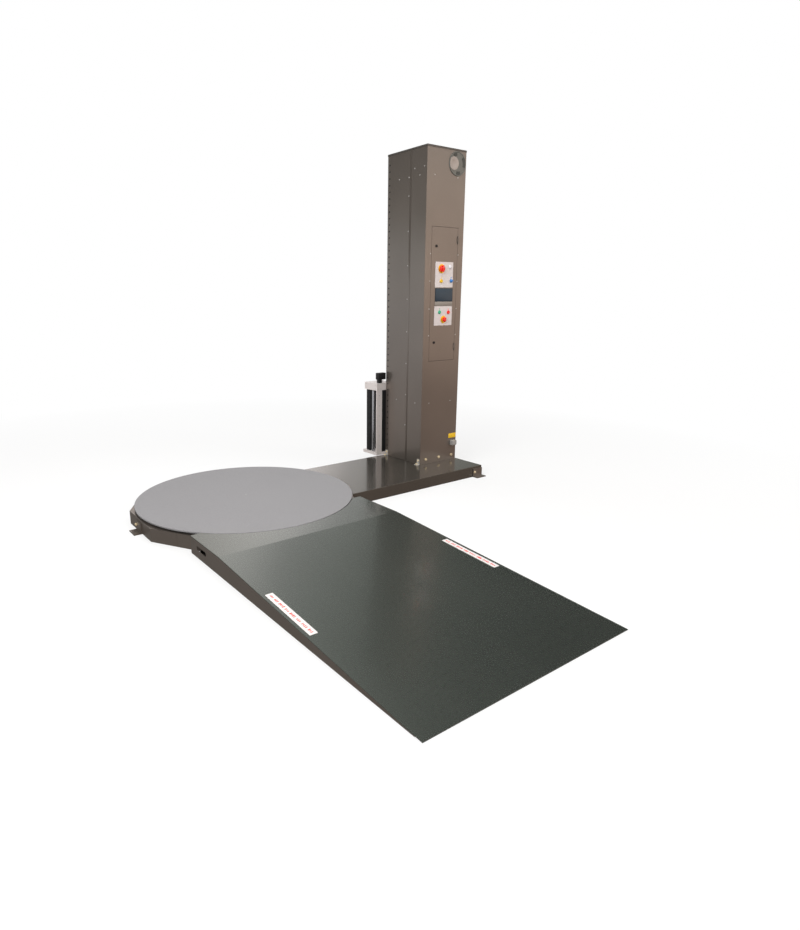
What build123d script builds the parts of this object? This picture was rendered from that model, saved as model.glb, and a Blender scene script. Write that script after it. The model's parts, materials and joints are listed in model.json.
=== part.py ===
from build123d import *
import os
from math import acos, cos, hypot, radians, sin, sqrt, tan

os.makedirs("parts", exist_ok=True)

# Turntable pallet wrapper, millimetres. The origin is the turntable's axis at floor level, +X runs
# along the platform to the column, -Y runs down the loading ramp and +Z is up.

# ---- driving sizes -------------------------------------------------------------------------
DISC_D = 1500           # turntable disc
DISC_T = 10
DISC_TOP = 110          # loading height
SKIRT_SIDES = 12        # ring skirt round the disc
SKIRT_ROOM = 5          # from the disc's rim to the middle of a skirt plate
SKIRT_T = 3
SEAM = 0.8              # gap between neighbouring skirt plates
PLATFORM_TOP = 88       # height of the skirt and of the platform
PLATFORM_END = 1990     # far end of the platform along X
PLATFORM_W = 774
PLATFORM_T = 3
RAMP_W = 1240
RAMP_END = 2520         # ramp lip, distance from the axis
LANDING = 155           # flat part of the ramp beyond the disc's rim
CHEEK_GAP = 39          # between the skirt's corner circle and the ends of the cheeks
RAMP_LIP_H = 5
PLATE = 4               # ramp deck, cheeks and ribs
GRIP_IN = 88            # hand slot in each cheek, from the cheek's end
GRIP_L = 131
GRIP_H = 26
GRIP_Z = 61
COL_X0 = 1577           # column footprint and height
COL_W = 410
COL_Y0 = -79
COL_D = 462
COL_TOP = 2560
SHEET = 2               # column covers
DOOR_X0 = 1645
DOOR_W = 280
DOOR_Z0 = 950
DOOR_H = 1035
DOOR_GAP = 2
ROLLER_R = 30           # rubber film rollers
CHROME_R = 13
CORE_R = 37             # spindle for a 76 mm film core
WHEEL_R = 25            # rollers that carry the disc
WHEEL_IN = 110          # from the disc's rim to the middle of a wheel
WHEEL_W = 30
TABLE_PULLEY_R = 300
DRIVE_PULLEY_R = 60
DRIVE_OUT = 205         # from the skirt to the drive pulley's axis
LIFT_PULLEY_R = 20

# ---- clearances ----------------------------------------------------------------------------
RUN = 0.05              # radial, shaft in bore
AIR = 0.3               # between faces that move past each other
FIT = 0.1               # bolt in hole

# ---- places worked out from the sizes above ------------------------------------------------
DISC_R = DISC_D / 2
DISC_BOTTOM = DISC_TOP - DISC_T
SKIRT_APOTHEM = DISC_R + SKIRT_ROOM
SKIRT_CORNER = SKIRT_APOTHEM / cos(radians(180 / SKIRT_SIDES))
WHEEL_TRACK = DISC_R - WHEEL_IN
DRIVE_X = SKIRT_APOTHEM + DRIVE_OUT
HALF_W = PLATFORM_W / 2
HALF_RAMP = RAMP_W / 2
RAMP_CREASE = DISC_R + LANDING
RAMP_START = sqrt(SKIRT_CORNER ** 2 - HALF_RAMP ** 2) + CHEEK_GAP
GRIP_MID = RAMP_START + GRIP_IN + GRIP_L / 2
DOOR_X1 = DOOR_X0 + DOOR_W
DOOR_Z1 = DOOR_Z0 + DOOR_H
COL_X1 = COL_X0 + COL_W
COL_Y1 = COL_Y0 + COL_D
COL_XC = COL_X0 + COL_W / 2
CAP_T = 3
COVER_TOP = COL_TOP - CAP_T
UNDER_COVER = PLATFORM_TOP - PLATFORM_T


def block(x0, x1, y0, y1, z0, z1):
    """Box between two corners."""
    return Pos((x0 + x1) / 2, (y0 + y1) / 2, (z0 + z1) / 2) * Box(x1 - x0, y1 - y0, z1 - z0)


def rod(x, y, z0, z1, r):
    """Upright cylinder."""
    return Pos(x, y, (z0 + z1) / 2) * Cylinder(r, z1 - z0)


def rod_x(y, z, x0, x1, r):
    """Cylinder along X."""
    return Pos((x0 + x1) / 2, y, z) * Rot(0, 90, 0) * Cylinder(r, x1 - x0)


def rod_y(x, z, y0, y1, r):
    """Cylinder along Y."""
    return Pos(x, (y0 + y1) / 2, z) * Rot(90, 0, 0) * Cylinder(r, y1 - y0)


def prism(points, z0, z1):
    """Upright prism over a plan outline."""
    return Pos(0, 0, z0) * extrude(make_face(Polyline(*points, close=True)), z1 - z0)


def profile_x(points, x0, x1):
    """Prism along X over an outline in Y and Z."""
    outline = Plane.YZ * make_face(Polyline(*points, close=True))
    return Pos(x0, 0, 0) * extrude(outline, x1 - x0)


def hexagon(across, height):
    """Hexagonal head that stands on Z = 0."""
    return extrude(RegularPolygon(across / sqrt(3), 6), height)


def bolt(across, head, shank_r, shank, washer_r, washer_t):
    """Hexagon bolt with its washer: the head stands out along +Z, the shank goes down."""
    body = Pos(0, 0, washer_t) * hexagon(across, head)
    body += rod(0, 0, -shank, washer_t, shank_r)
    washer = rod(0, 0, 0, washer_t, washer_r) - rod(0, 0, -1, washer_t + 1, shank_r + FIT)
    return [body, washer]


def outward_y(x, y, z):
    """Place whose +Z points out of a face that looks along -Y."""
    return Pos(x, y, z) * Rot(90, 0, 0)


def outward_x(x, y, z):
    """Place whose +Z points out of a face that looks along -X."""
    return Pos(x, y, z) * Rot(0, -90, 0)


def polar(radius, degrees):
    """Point at an angle round the turntable's axis."""
    return (radius * cos(radians(degrees)), radius * sin(radians(degrees)))


def ring_prism(apothem, z0, z1):
    """Prism on the skirt's regular outline, one side square to +X."""
    corner = apothem * SKIRT_CORNER / SKIRT_APOTHEM
    step = 360 / SKIRT_SIDES
    return prism([polar(corner, (i + 0.5) * step) for i in range(SKIRT_SIDES)], z0, z1)


def loop_plan(r0, c1, r1):
    """Plan of a belt's outline: a circle of r0 at the origin and one of r1 at distance c1 along X."""
    lean = acos((r0 - r1) / c1)
    sides = [(r0 * cos(lean), r0 * sin(lean)), (c1 + r1 * cos(lean), r1 * sin(lean)),
             (c1 + r1 * cos(lean), -r1 * sin(lean)), (r0 * cos(lean), -r0 * sin(lean))]
    return Circle(r0) + Pos(c1, 0) * Circle(r1) + make_face(Polyline(*sides, close=True))


def belt_loop(r0, c1, r1, thickness, width):
    """Belt that runs AIR clear of its two pulleys, standing on Z = 0."""
    outer = loop_plan(r0 + AIR + thickness, c1, r1 + AIR + thickness)
    inner = loop_plan(r0 + AIR, c1, r1 + AIR)
    return extrude(outer - inner, width)


def save(name, *shapes):
    """Write one node, each of its solids separate."""
    solids = []
    for shape in shapes:
        for item in shape if isinstance(shape, (list, tuple)) else [shape]:
            solids.extend(item.solids())
    export_step(Compound(children=solids), f"parts/{name}.step")


# ---- base frame and ring skirt -------------------------------------------------------------
ARM_W = 60
ARM_WALL = 4
FORK_T = 4              # foot of a wheel's fork
ARM_H = DISC_BOTTOM - 2 * WHEEL_R - FORK_T - 6
PIVOT_BLOCK_R = 100
SPIGOT_R = 30
FLANGE_T = 8
BELT_Z = 54
BELT_W = 20
BELT_T = 4
DOORWAY_HALF = 130      # opening in the skirt for the drive belt
DOORWAY_Z = (44, 80)
WHEEL_ANGLES = range(30, 390, 60)


def ring_skirt():
    skirt = ring_prism(SKIRT_APOTHEM, 0, PLATFORM_TOP)
    skirt -= ring_prism(SKIRT_APOTHEM - SKIRT_T, -1, PLATFORM_TOP + 1)
    seam = block(SKIRT_APOTHEM - 40, SKIRT_APOTHEM + 40, -SEAM / 2, SEAM / 2, -1, PLATFORM_TOP + 1)
    for side in range(SKIRT_SIDES):
        skirt -= Rot(0, 0, side * 360 / SKIRT_SIDES) * seam
    skirt -= block(SKIRT_APOTHEM - 40, SKIRT_APOTHEM + 40, -DOORWAY_HALF, DOORWAY_HALF, *DOORWAY_Z)
    return skirt


def base_frame():
    core = rod(0, 0, 0, ARM_H, PIVOT_BLOCK_R)
    arm = block(0, SKIRT_APOTHEM - SKIRT_T, -ARM_W / 2, ARM_W / 2, 0, ARM_H)
    arm -= block(PIVOT_BLOCK_R / 2, SKIRT_APOTHEM, -ARM_W / 2 + ARM_WALL, ARM_W / 2 - ARM_WALL,
                 ARM_WALL, ARM_H - ARM_WALL)
    arm -= rod(0, 0, -1, ARM_H + 1, PIVOT_BLOCK_R)
    return [core] + [Rot(0, 0, a) * arm for a in WHEEL_ANGLES]


HUB_R = 55
HUB_Z0 = ARM_H + FLANGE_T + 2
SPIGOT_TOP = DISC_BOTTOM - 4


def pivot_spigot():
    spigot = rod(0, 0, ARM_H, ARM_H + FLANGE_T, 70) + rod(0, 0, ARM_H, SPIGOT_TOP, SPIGOT_R)
    bearing = rod(0, 0, ARM_H + FLANGE_T, HUB_Z0 - AIR, HUB_R - 5)
    bearing -= rod(0, 0, ARM_H, HUB_Z0, SPIGOT_R + FIT)
    return [spigot, bearing]


WHEEL_Z = DISC_BOTTOM - AIR - WHEEL_R
WHEEL_AXLE_R = 5
EAR_T = 5
EAR_IN = WHEEL_TRACK - WHEEL_W / 2 - 2
EAR_OUT = WHEEL_TRACK + WHEEL_W / 2 + 2


def wheel_bracket():
    """Fork on an arm of the frame, drawn for the arm along +X."""
    fork = block(EAR_IN - EAR_T, EAR_OUT + EAR_T, -25, 25, ARM_H, ARM_H + FORK_T)
    for x in (EAR_IN - EAR_T, EAR_OUT):
        fork += block(x, x + EAR_T, -14, 14, ARM_H, WHEEL_Z + 10)
    fork -= rod_x(0, WHEEL_Z, EAR_IN - 20, EAR_OUT + 20, WHEEL_AXLE_R + RUN)
    return fork


def support_wheel():
    """Roller whose axle points at the turntable's centre, drawn on the arm along +X."""
    wheel = rod_x(0, WHEEL_Z, WHEEL_TRACK - WHEEL_W / 2, WHEEL_TRACK + WHEEL_W / 2, WHEEL_R)
    wheel = chamfer(wheel.edges().filter_by(GeomType.CIRCLE), 2)
    return wheel + rod_x(0, WHEEL_Z, EAR_IN - EAR_T, EAR_OUT + EAR_T, WHEEL_AXLE_R)


save("ring_skirt", ring_skirt())
save("base_frame", base_frame())
save("pivot_spigot", pivot_spigot())
save("wheel_brackets", [Rot(0, 0, a) * wheel_bracket() for a in WHEEL_ANGLES])
for number, angle in enumerate(WHEEL_ANGLES, 1):
    save(f"support_wheel_{number}", Rot(0, 0, angle) * support_wheel())

# ---- turntable -----------------------------------------------------------------------------
PLUG_R = 8
disc = rod(0, 0, DISC_BOTTOM, DISC_TOP, DISC_R)
disc = chamfer(disc.edges().filter_by(GeomType.CIRCLE), 1)
disc -= rod(0, 0, DISC_BOTTOM - 1, DISC_TOP + 1, PLUG_R)
hub = rod(0, 0, HUB_Z0, DISC_BOTTOM, HUB_R) - rod(0, 0, HUB_Z0 - 1, SPIGOT_TOP + 1, SPIGOT_R + RUN)
plug = rod(0, 0, DISC_BOTTOM, DISC_TOP, PLUG_R - RUN)
plug = chamfer(plug.edges().filter_by(GeomType.CIRCLE).sort_by(Axis.Z)[-1:], 1.5)


def table_pulley():
    pulley = rod(0, 0, BELT_Z, BELT_Z + BELT_W, TABLE_PULLEY_R)
    for z in (BELT_Z - 1, BELT_Z + BELT_W - 6):
        pulley -= rod(0, 0, z, z + 7, TABLE_PULLEY_R - 20) - rod(0, 0, z, z + 7, HUB_R + 20)
    pulley -= rod(0, 0, BELT_Z - 1, BELT_Z + BELT_W + 1, HUB_R)
    for side in range(6):
        pulley -= Rot(0, 0, side * 60) * rod(175, 0, BELT_Z, BELT_Z + BELT_W, 55)
    return pulley


save("turntable_disc", disc)
save("turntable_hub", hub, plug)
save("table_pulley", table_pulley())

# ---- turntable drive under the platform ----------------------------------------------------
BEAM_Y = 150
BEAM_W = 40
GEARBOX_TOP = 50
MOTOR_R = 35
MOTOR_X = DRIVE_X + DRIVE_PULLEY_R + 10
MOUNT_T = 4
gearbox = block(DRIVE_X - 60, MOTOR_X, -55, 55, MOUNT_T, GEARBOX_TOP)
gearbox -= rod(DRIVE_X, 0, 20, GEARBOX_TOP + 1, 10 + RUN)
motor_z = MOUNT_T + MOTOR_R + 2
motor = rod_x(0, motor_z, MOTOR_X, MOTOR_X + 200, MOTOR_R)
motor = fillet(motor.edges().filter_by(GeomType.CIRCLE), 4)
motor += rod_x(0, motor_z, MOTOR_X, MOTOR_X + 10, MOTOR_R + 1.5)
motor += block(MOTOR_X + 60, MOTOR_X + 130, -50, -20, motor_z - 15, motor_z + 25)
for x in (MOTOR_X + 20, MOTOR_X + 150):
    motor += block(x, x + 20, -MOTOR_R, MOTOR_R, MOUNT_T, motor_z - 15)
pulley = rod(DRIVE_X, 0, BELT_Z, BELT_Z + BELT_W, DRIVE_PULLEY_R)
pulley += rod(DRIVE_X, 0, GEARBOX_TOP + AIR, BELT_Z, 18) + rod(DRIVE_X, 0, 24, BELT_Z, 10)
drive_belt = Pos(0, 0, BELT_Z) * belt_loop(TABLE_PULLEY_R, DRIVE_X, DRIVE_PULLEY_R, BELT_T, BELT_W)
save("turntable_gearmotor", gearbox, motor)
save("drive_pulley", pulley)
save("drive_belt", drive_belt)

# ---- platform ------------------------------------------------------------------------------
FOOT_T = 8
FOOT_W = 100
FOOT_OUT = 53
FOOT_H = 70
ANCHOR_R = 7
ANCHOR_IN = 30          # anchor hole centre from the wall the foot is bolted to
FOOT_BOLT_Z = 42


def platform_cover():
    cover = block(0, PLATFORM_END, -HALF_W, HALF_W, 0, PLATFORM_TOP)
    inner = HALF_W - PLATFORM_T
    cover -= block(-1, PLATFORM_END - PLATFORM_T, -inner, inner, -1, UNDER_COVER)
    for y in (-HALF_W, HALF_W):
        edge = cover.edges().filter_by(Axis.X).filter_by_position(Axis.Y, y - 0.1, y + 0.1)
        cover = fillet(edge.sort_by(Axis.Z)[-1:], PLATFORM_T - 0.5)
    cover -= ring_prism(SKIRT_APOTHEM, -1, PLATFORM_TOP + 1)
    return cover


def platform_beams():
    beams = []
    for side in (-1, 1):
        y0, y1 = sorted((side * (BEAM_Y - BEAM_W / 2), side * (BEAM_Y + BEAM_W / 2)))
        beam = block(SKIRT_APOTHEM, PLATFORM_END - PLATFORM_T, y0, y1, 0, UNDER_COVER)
        beam -= block(SKIRT_APOTHEM - 1, PLATFORM_END, y0 + ARM_WALL, y1 - ARM_WALL,
                      ARM_WALL, UNDER_COVER - ARM_WALL)
        beams.append(beam)
    inner = BEAM_Y - BEAM_W / 2
    beams.append(block(DRIVE_X - 80, DRIVE_X + 280, -inner, inner, 0, MOUNT_T))
    for x in (COL_X0 + 40, COL_X1 - 80):
        for side in (-1, 1):
            y0, y1 = sorted((side * (BEAM_Y + BEAM_W / 2), side * (HALF_W - PLATFORM_T)))
            beams.append(block(x, x + 40, y0, y1, 0, UNDER_COVER))
    return beams


def anchor_foot():
    """Angle bracket on a wall that looks along -Y: the wall's face is Y = 0."""
    foot = block(0, FOOT_W, -FOOT_OUT, 0, 0, FOOT_T) + block(0, FOOT_W, -FOOT_T, 0, 0, FOOT_H)
    foot -= rod(FOOT_W / 2, -ANCHOR_IN, -1, FOOT_T + 1, ANCHOR_R)
    return foot - rod_y(13, FOOT_BOLT_Z, -FOOT_T - 1, 1, 5 + FIT)


FOOT_X = PLATFORM_END - FOOT_W
FOOT_PLACES = [
    Pos(FOOT_X, -HALF_W, 0),
    Pos(PLATFORM_END, HALF_W, 0) * Rot(0, 0, 180),
    Pos(-SKIRT_APOTHEM, 10 + FOOT_W / 2, 0) * Rot(0, 0, -90),
    Pos(FOOT_W / 2, SKIRT_APOTHEM, 0) * Rot(0, 0, 180),
]
foot_bolts = [place * outward_y(13, -FOOT_T, FOOT_BOLT_Z) * part
              for place in FOOT_PLACES for part in bolt(16, 7, 5, FOOT_T, 11, 2)]
save("platform_cover", platform_cover())
save("platform_beams", platform_beams())
save("anchor_feet", [place * anchor_foot() for place in FOOT_PLACES])

# ---- loading ramp --------------------------------------------------------------------------
RAMP_GAP = 7            # between the disc's rim and the deck
RIB_X = (-420, -140, 140, 420)
CROSS_Y = (RAMP_CREASE, 1400, 1900)
LABEL_T = 0.6
LABEL_W = 42
LABEL_X = HALF_RAMP - 18 - LABEL_W
LABEL_Y = (1390, 1790)


def deck_z(distance):
    """Height of the deck's top at a distance from the turntable's axis."""
    if distance <= RAMP_CREASE:
        return DISC_TOP
    share = (distance - RAMP_CREASE) / (RAMP_END - RAMP_CREASE)
    return DISC_TOP - share * (DISC_TOP - RAMP_LIP_H)


def under_deck(near, far, x0, x1):
    """Plate on edge between the floor and the underside of the deck."""
    tops = [near] + [RAMP_CREASE] * (near < RAMP_CREASE < far) + [far]
    points = [(-d, deck_z(d) - PLATE) for d in tops] + [(-far, 0), (-near, 0)]
    return profile_x(points, x0, x1)


def ramp_deck():
    tops = [RAMP_START, RAMP_CREASE, RAMP_END]
    points = [(-d, deck_z(d)) for d in tops] + [(-d, deck_z(d) - PLATE) for d in reversed(tops)]
    deck = profile_x(points, -HALF_RAMP, HALF_RAMP)
    return deck - rod(0, 0, 0, DISC_TOP + 10, DISC_R + RAMP_GAP)


def ramp_cheeks():
    lip = RAMP_END - 40
    slot = SlotOverall(GRIP_L, GRIP_H)
    cutter = Pos(-HALF_RAMP - 5, -GRIP_MID, GRIP_Z) * extrude(Plane.YZ * slot, RAMP_W + 10)
    cheeks = []
    for x in (-HALF_RAMP, HALF_RAMP - PLATE):
        cheeks.append(under_deck(RAMP_START, lip, x, x + PLATE) - cutter)
    return cheeks


def ramp_ribs():
    skirt = ring_prism(SKIRT_APOTHEM, -1, DISC_TOP)
    ribs = [under_deck(RAMP_START, RAMP_END - 120, x, x + PLATE) - skirt for x in RIB_X]
    walls = [-HALF_RAMP] + list(RIB_X) + [HALF_RAMP - PLATE]
    for distance in CROSS_Y:
        for left, right in zip(walls, walls[1:]):
            ribs.append(under_deck(distance, distance + PLATE, left + PLATE, right))
    disc_room = rod(0, 0, PLATFORM_TOP, DISC_TOP + 10, DISC_R + RAMP_GAP)
    return [rib - disc_room for rib in ribs]


def ramp_labels():
    near, far = LABEL_Y
    points = [(-near, deck_z(near)), (-near, deck_z(near) + LABEL_T),
              (-far, deck_z(far) + LABEL_T), (-far, deck_z(far))]
    return [profile_x(points, x, x + LABEL_W) for x in (-LABEL_X - LABEL_W, LABEL_X)]


save("ramp_deck", ramp_deck())
save("ramp_cheeks", ramp_cheeks())
save("ramp_ribs", ramp_ribs())
save("ramp_labels", ramp_labels())

# ---- column structure ----------------------------------------------------------------------
BASE_T = 8
ANGLE = 50              # legs of the angles along the foot of the column
ANGLE_T = 6
POST = 28
IN_X0 = COL_X0 + SHEET
IN_X1 = COL_X1 - SHEET
IN_Y0 = COL_Y0 + SHEET
IN_Y1 = COL_Y1 - SHEET
MAST_W = 220
MAST_Y = (250, 350)
MAST_T = 6
MAST_X0 = COL_XC - 20 - MAST_W / 2
MAST_X1 = MAST_X0 + MAST_W
LIFT_X = (MAST_X0 + MAST_X1) / 2
MAST_TOP = COL_TOP - 40
RAIL_T = 10
RAIL_Y = (318, 342)
PULLEY_Y = 285
PULLEY_Z = (150, COL_TOP - 130)
AXLE_R = 8
EAR_GAP = 54            # outside faces of the bearing plates from the pulley's middle
SLOT_HALF = 70          # slot in the back of the column
COL_FLOOR = PLATFORM_TOP + BASE_T


def column_frame():
    base = block(IN_X0, IN_X1, IN_Y0, IN_Y1, PLATFORM_TOP, COL_FLOOR)
    top = COL_FLOOR + ANGLE
    front = block(IN_X0, IN_X1, IN_Y0, IN_Y0 + ANGLE_T, COL_FLOOR, top)
    right = block(IN_X1 - ANGLE_T, IN_X1, IN_Y0 + ANGLE_T, MAST_Y[0] - 10, COL_FLOOR, top)
    for x in COLUMN_BOLT_X:
        front -= rod_y(x, COLUMN_BOLT_Z, IN_Y0 - 1, IN_Y0 + ANGLE_T + 1, 5 + FIT)
    parts = [base, front, right]
    for x0, x1, leg in ((IN_X0, IN_X0 + POST, IN_X0 + ANGLE_T), (IN_X1 - POST, IN_X1, IN_X1)):
        upright = block(x0, x1, IN_Y0, IN_Y0 + POST, top, COVER_TOP)
        hollow_x = x0 + 4 if x0 == IN_X0 else x0 - 1
        upright -= block(hollow_x, hollow_x + POST - 3, IN_Y0 + 4, IN_Y0 + POST + 1,
                         top - 1, COVER_TOP + 1)
        parts.append(upright)
    return parts


def mast():
    channel = block(MAST_X0, MAST_X1, *MAST_Y, COL_FLOOR, MAST_TOP)
    channel -= block(MAST_X0 + MAST_T, MAST_X1 - MAST_T, MAST_Y[0] + MAST_T, MAST_Y[1] + 1,
                     COL_FLOOR - 1, MAST_TOP + 1)
    channel -= rod_x(PULLEY_Y, PULLEY_Z[1], LIFT_X, MAST_X1 + 1, 10 + RUN)
    parts = [channel]
    for x in (MAST_X0 + MAST_T, MAST_X1 - MAST_T - RAIL_T):
        parts.append(block(x, x + RAIL_T, *RAIL_Y, COL_FLOOR + 20, MAST_TOP - 20))
    for z in PULLEY_Z:
        for x in (LIFT_X - EAR_GAP, LIFT_X + EAR_GAP - 6):
            ear = block(x, x + 6, MAST_Y[0] + MAST_T, PULLEY_Y + 14, z - 30, z + 30)
            bore = 10 if x > LIFT_X and z == PULLEY_Z[1] else AXLE_R
            parts.append(ear - rod_x(PULLEY_Y, z, x - 1, x + 7, bore + RUN))
    return parts


def lift_pulley(z, shafts):
    pulley_body = rod_x(PULLEY_Y, z, LIFT_X - 15, LIFT_X + 15, LIFT_PULLEY_R)
    for x in (LIFT_X - 18, LIFT_X + 15):
        pulley_body += rod_x(PULLEY_Y, z, x, x + 3, LIFT_PULLEY_R + 3)
    for x0, x1, r in shafts:
        pulley_body += rod_x(PULLEY_Y, z, x0, x1, r)
    return pulley_body


def lift_belt():
    height = PULLEY_Z[1] - PULLEY_Z[0]
    loop = belt_loop(LIFT_PULLEY_R, height, LIFT_PULLEY_R, 3, 26)
    turn = Pos(LIFT_X - 13, PULLEY_Y, PULLEY_Z[0]) * Rot(0, -90, 0) * Rot(180, 0, 0)
    placed = turn * loop
    box = placed.bounding_box()
    return Pos(LIFT_X - box.center().X, 0, 0) * placed


def lift_gearmotor():
    z = PULLEY_Z[1]
    gear = block(MAST_X1 + 2, MAST_X1 + 84, PULLEY_Y - 45, PULLEY_Y + 45, z - 55, z + 55)
    gear += block(MAST_X1, MAST_X1 + 2, PULLEY_Y - 30, PULLEY_Y + 30, z - 30, z + 30)
    gear -= rod_x(PULLEY_Y, z, MAST_X1 - 1, MAST_X1 + 30, 10 + RUN)
    drum = rod(MAST_X1 + 44, PULLEY_Y, z - 255, z - 55, 38)
    return [fillet(gear.edges().filter_by(Axis.X), 6),
            fillet(drum.edges().filter_by(GeomType.CIRCLE).sort_by(Axis.Z)[:1], 5)]


COLUMN_BOLT_X = (COL_X0 + 62, COL_X0 + 212, COL_X0 + 360)
COLUMN_BOLT_Z = PLATFORM_TOP + 38
save("column_frame", column_frame())
save("mast", mast())
save("lift_pulley_bottom", lift_pulley(PULLEY_Z[0], [(LIFT_X - EAR_GAP, LIFT_X + EAR_GAP, AXLE_R)]))
save("lift_pulley_top", lift_pulley(PULLEY_Z[1], [(LIFT_X - EAR_GAP, LIFT_X, AXLE_R),
                                                  (LIFT_X, MAST_X1 + 28, 10)]))
save("lift_belt", lift_belt())
save("lift_gearmotor", lift_gearmotor())

# ---- column covers -------------------------------------------------------------------------
SEAM_Y = 115            # joint between the two covers of the left side
RIM = 15                # folded edges of the door and of its opening
HINGE_X = DOOR_X1 + 1
KNUCKLE_R = 4
HINGE_Y = COL_Y0 - KNUCKLE_R
HINGE_Z = (DOOR_Z0 + 90, DOOR_Z1 - 105)
KNUCKLE = 30
BADGE_X = COL_X0 + 315
BADGE_Z = COL_TOP - 105
BADGE_R = 90


def front_frame():
    x0, x1 = DOOR_X0 - DOOR_GAP, DOOR_X1 + DOOR_GAP
    z0, z1 = DOOR_Z0 - DOOR_GAP, DOOR_Z1 + DOOR_GAP
    sheet = block(COL_X0, COL_X1, COL_Y0, IN_Y0, PLATFORM_TOP, COVER_TOP)
    back = IN_Y0 + RIM + DOOR_GAP
    sheet += block(x0 - SHEET, x1 + SHEET, IN_Y0, back, z0 - SHEET, z1 + SHEET)
    sheet -= block(x0, x1, COL_Y0 - 1, back + 1, z0, z1)
    for x in COLUMN_BOLT_X:
        sheet -= rod_y(x, COLUMN_BOLT_Z, COL_Y0 - 1, IN_Y0 + 1, 5 + FIT)
    for z in HINGE_Z:
        pin = rod(HINGE_X, HINGE_Y, z - KNUCKLE / 2, z + KNUCKLE * 1.5, 2)
        for z_end in (z - KNUCKLE / 2, z + KNUCKLE + AIR):
            z_far = z_end + KNUCKLE / 2 - AIR
            pin += rod(HINGE_X, HINGE_Y, z_end, z_far, KNUCKLE_R)
            pin += block(HINGE_X, HINGE_X + 14, COL_Y0 - SHEET, COL_Y0, z_end, z_far)
        sheet += pin
    return sheet


def side_covers():
    """Two covers on the left side, one on the right."""
    near = block(COL_X0, IN_X0, IN_Y0, SEAM_Y - SEAM / 2, PLATFORM_TOP, COVER_TOP)
    far = block(COL_X0, IN_X0, SEAM_Y + SEAM / 2, IN_Y1, PLATFORM_TOP, COVER_TOP)
    return [near, far, block(IN_X1, COL_X1, IN_Y0, IN_Y1, PLATFORM_TOP, COVER_TOP)]


def back_covers():
    left = block(COL_X0, LIFT_X - SLOT_HALF, IN_Y1, COL_Y1, PLATFORM_TOP, COVER_TOP)
    right = block(LIFT_X + SLOT_HALF, COL_X1, IN_Y1, COL_Y1, PLATFORM_TOP, COVER_TOP)
    return [left, right]


def top_cap():
    lip = 2
    room = 0.2
    cap = block(COL_X0 - lip, COL_X1 + lip, COL_Y0 - lip, COL_Y1 + lip, COVER_TOP - 11, COL_TOP)
    cap = fillet(cap.edges().group_by(Axis.Z)[-1], 1.5)
    return cap - block(COL_X0 - room, COL_X1 + room, COL_Y0 - room, COL_Y1 + room,
                       COVER_TOP - 12, COVER_TOP)


def round_badge():
    badge = rod_y(BADGE_X, BADGE_Z, COL_Y0 - 5, COL_Y0, BADGE_R)
    badge = chamfer(badge.edges().filter_by(GeomType.CIRCLE).sort_by(Axis.Y)[:1], 3)
    groove = rod_y(BADGE_X, BADGE_Z, COL_Y0 - 6, COL_Y0 - 2, BADGE_R - 14)
    return badge - (groove - rod_y(BADGE_X, BADGE_Z, COL_Y0 - 7, COL_Y0, BADGE_R - 24))


def corner_brackets():
    """Two zinc angles on the platform against the column's left side."""
    brackets = []
    for y in (COL_Y0 + 6, COL_Y1 - 38):
        leg = block(COL_X0 - 34, COL_X0, y, y + 32, PLATFORM_TOP, PLATFORM_TOP + 4)
        leg += block(COL_X0 - 4, COL_X0, y, y + 32, PLATFORM_TOP, PLATFORM_TOP + 46)
        brackets.append(leg)
    return brackets


def fasteners():
    bolts = list(foot_bolts)
    for x in COLUMN_BOLT_X:
        bolts += [outward_y(x, COL_Y0, COLUMN_BOLT_Z) * part for part in bolt(17, 8, 5, 8, 12, 2)]
    for y in (COL_Y0 + 22, COL_Y1 - 22):
        place = Pos(COL_X0 - 20, y, PLATFORM_TOP + 4)
        bolts += [place * part for part in bolt(17, 8, 5, 0, 11, 2)]
        place = outward_x(COL_X0 - 4, y, PLATFORM_TOP + 32)
        bolts += [place * part for part in bolt(13, 6, 4, 0, 9, 1.6)]
    return bolts


SCREW_LOW = 604
SCREW_HIGH = COL_TOP - 205
SCREW_TOP = COL_TOP - 150
SEAM_SCREWS = range(400, COL_TOP - 260, 260)
DOOR_SCREWS = [DOOR_Z0 + up for up in (203, 413, 627, 833)]
FRONT_SCREWS = [(x, z) for x in (COL_X0 + 82, COL_X0 + 325) for z in (SCREW_LOW, SCREW_HIGH)]
FRONT_SCREWS += [(x, z) for x in (DOOR_X0 - 11, DOOR_X1 + 10) for z in DOOR_SCREWS]
SIDE_SCREWS = [(y, SCREW_HIGH) for y in (0, 125, 240)] + [(y, SCREW_TOP) for y in (-49, 61)]
SIDE_SCREWS += [(y, SCREW_LOW) for y in (2, 241)] + [(SEAM_Y + 8, z) for z in SEAM_SCREWS]


def cover_screws():
    head = extrude(Circle(5), 2.2)
    head = fillet(head.edges().filter_by(GeomType.CIRCLE).sort_by(Axis.Z)[-1:], 1.4)
    screws = [outward_y(x, COL_Y0, z) * head for x, z in FRONT_SCREWS]
    return screws + [outward_x(COL_X0, y, z) * head for y, z in SIDE_SCREWS]


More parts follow.
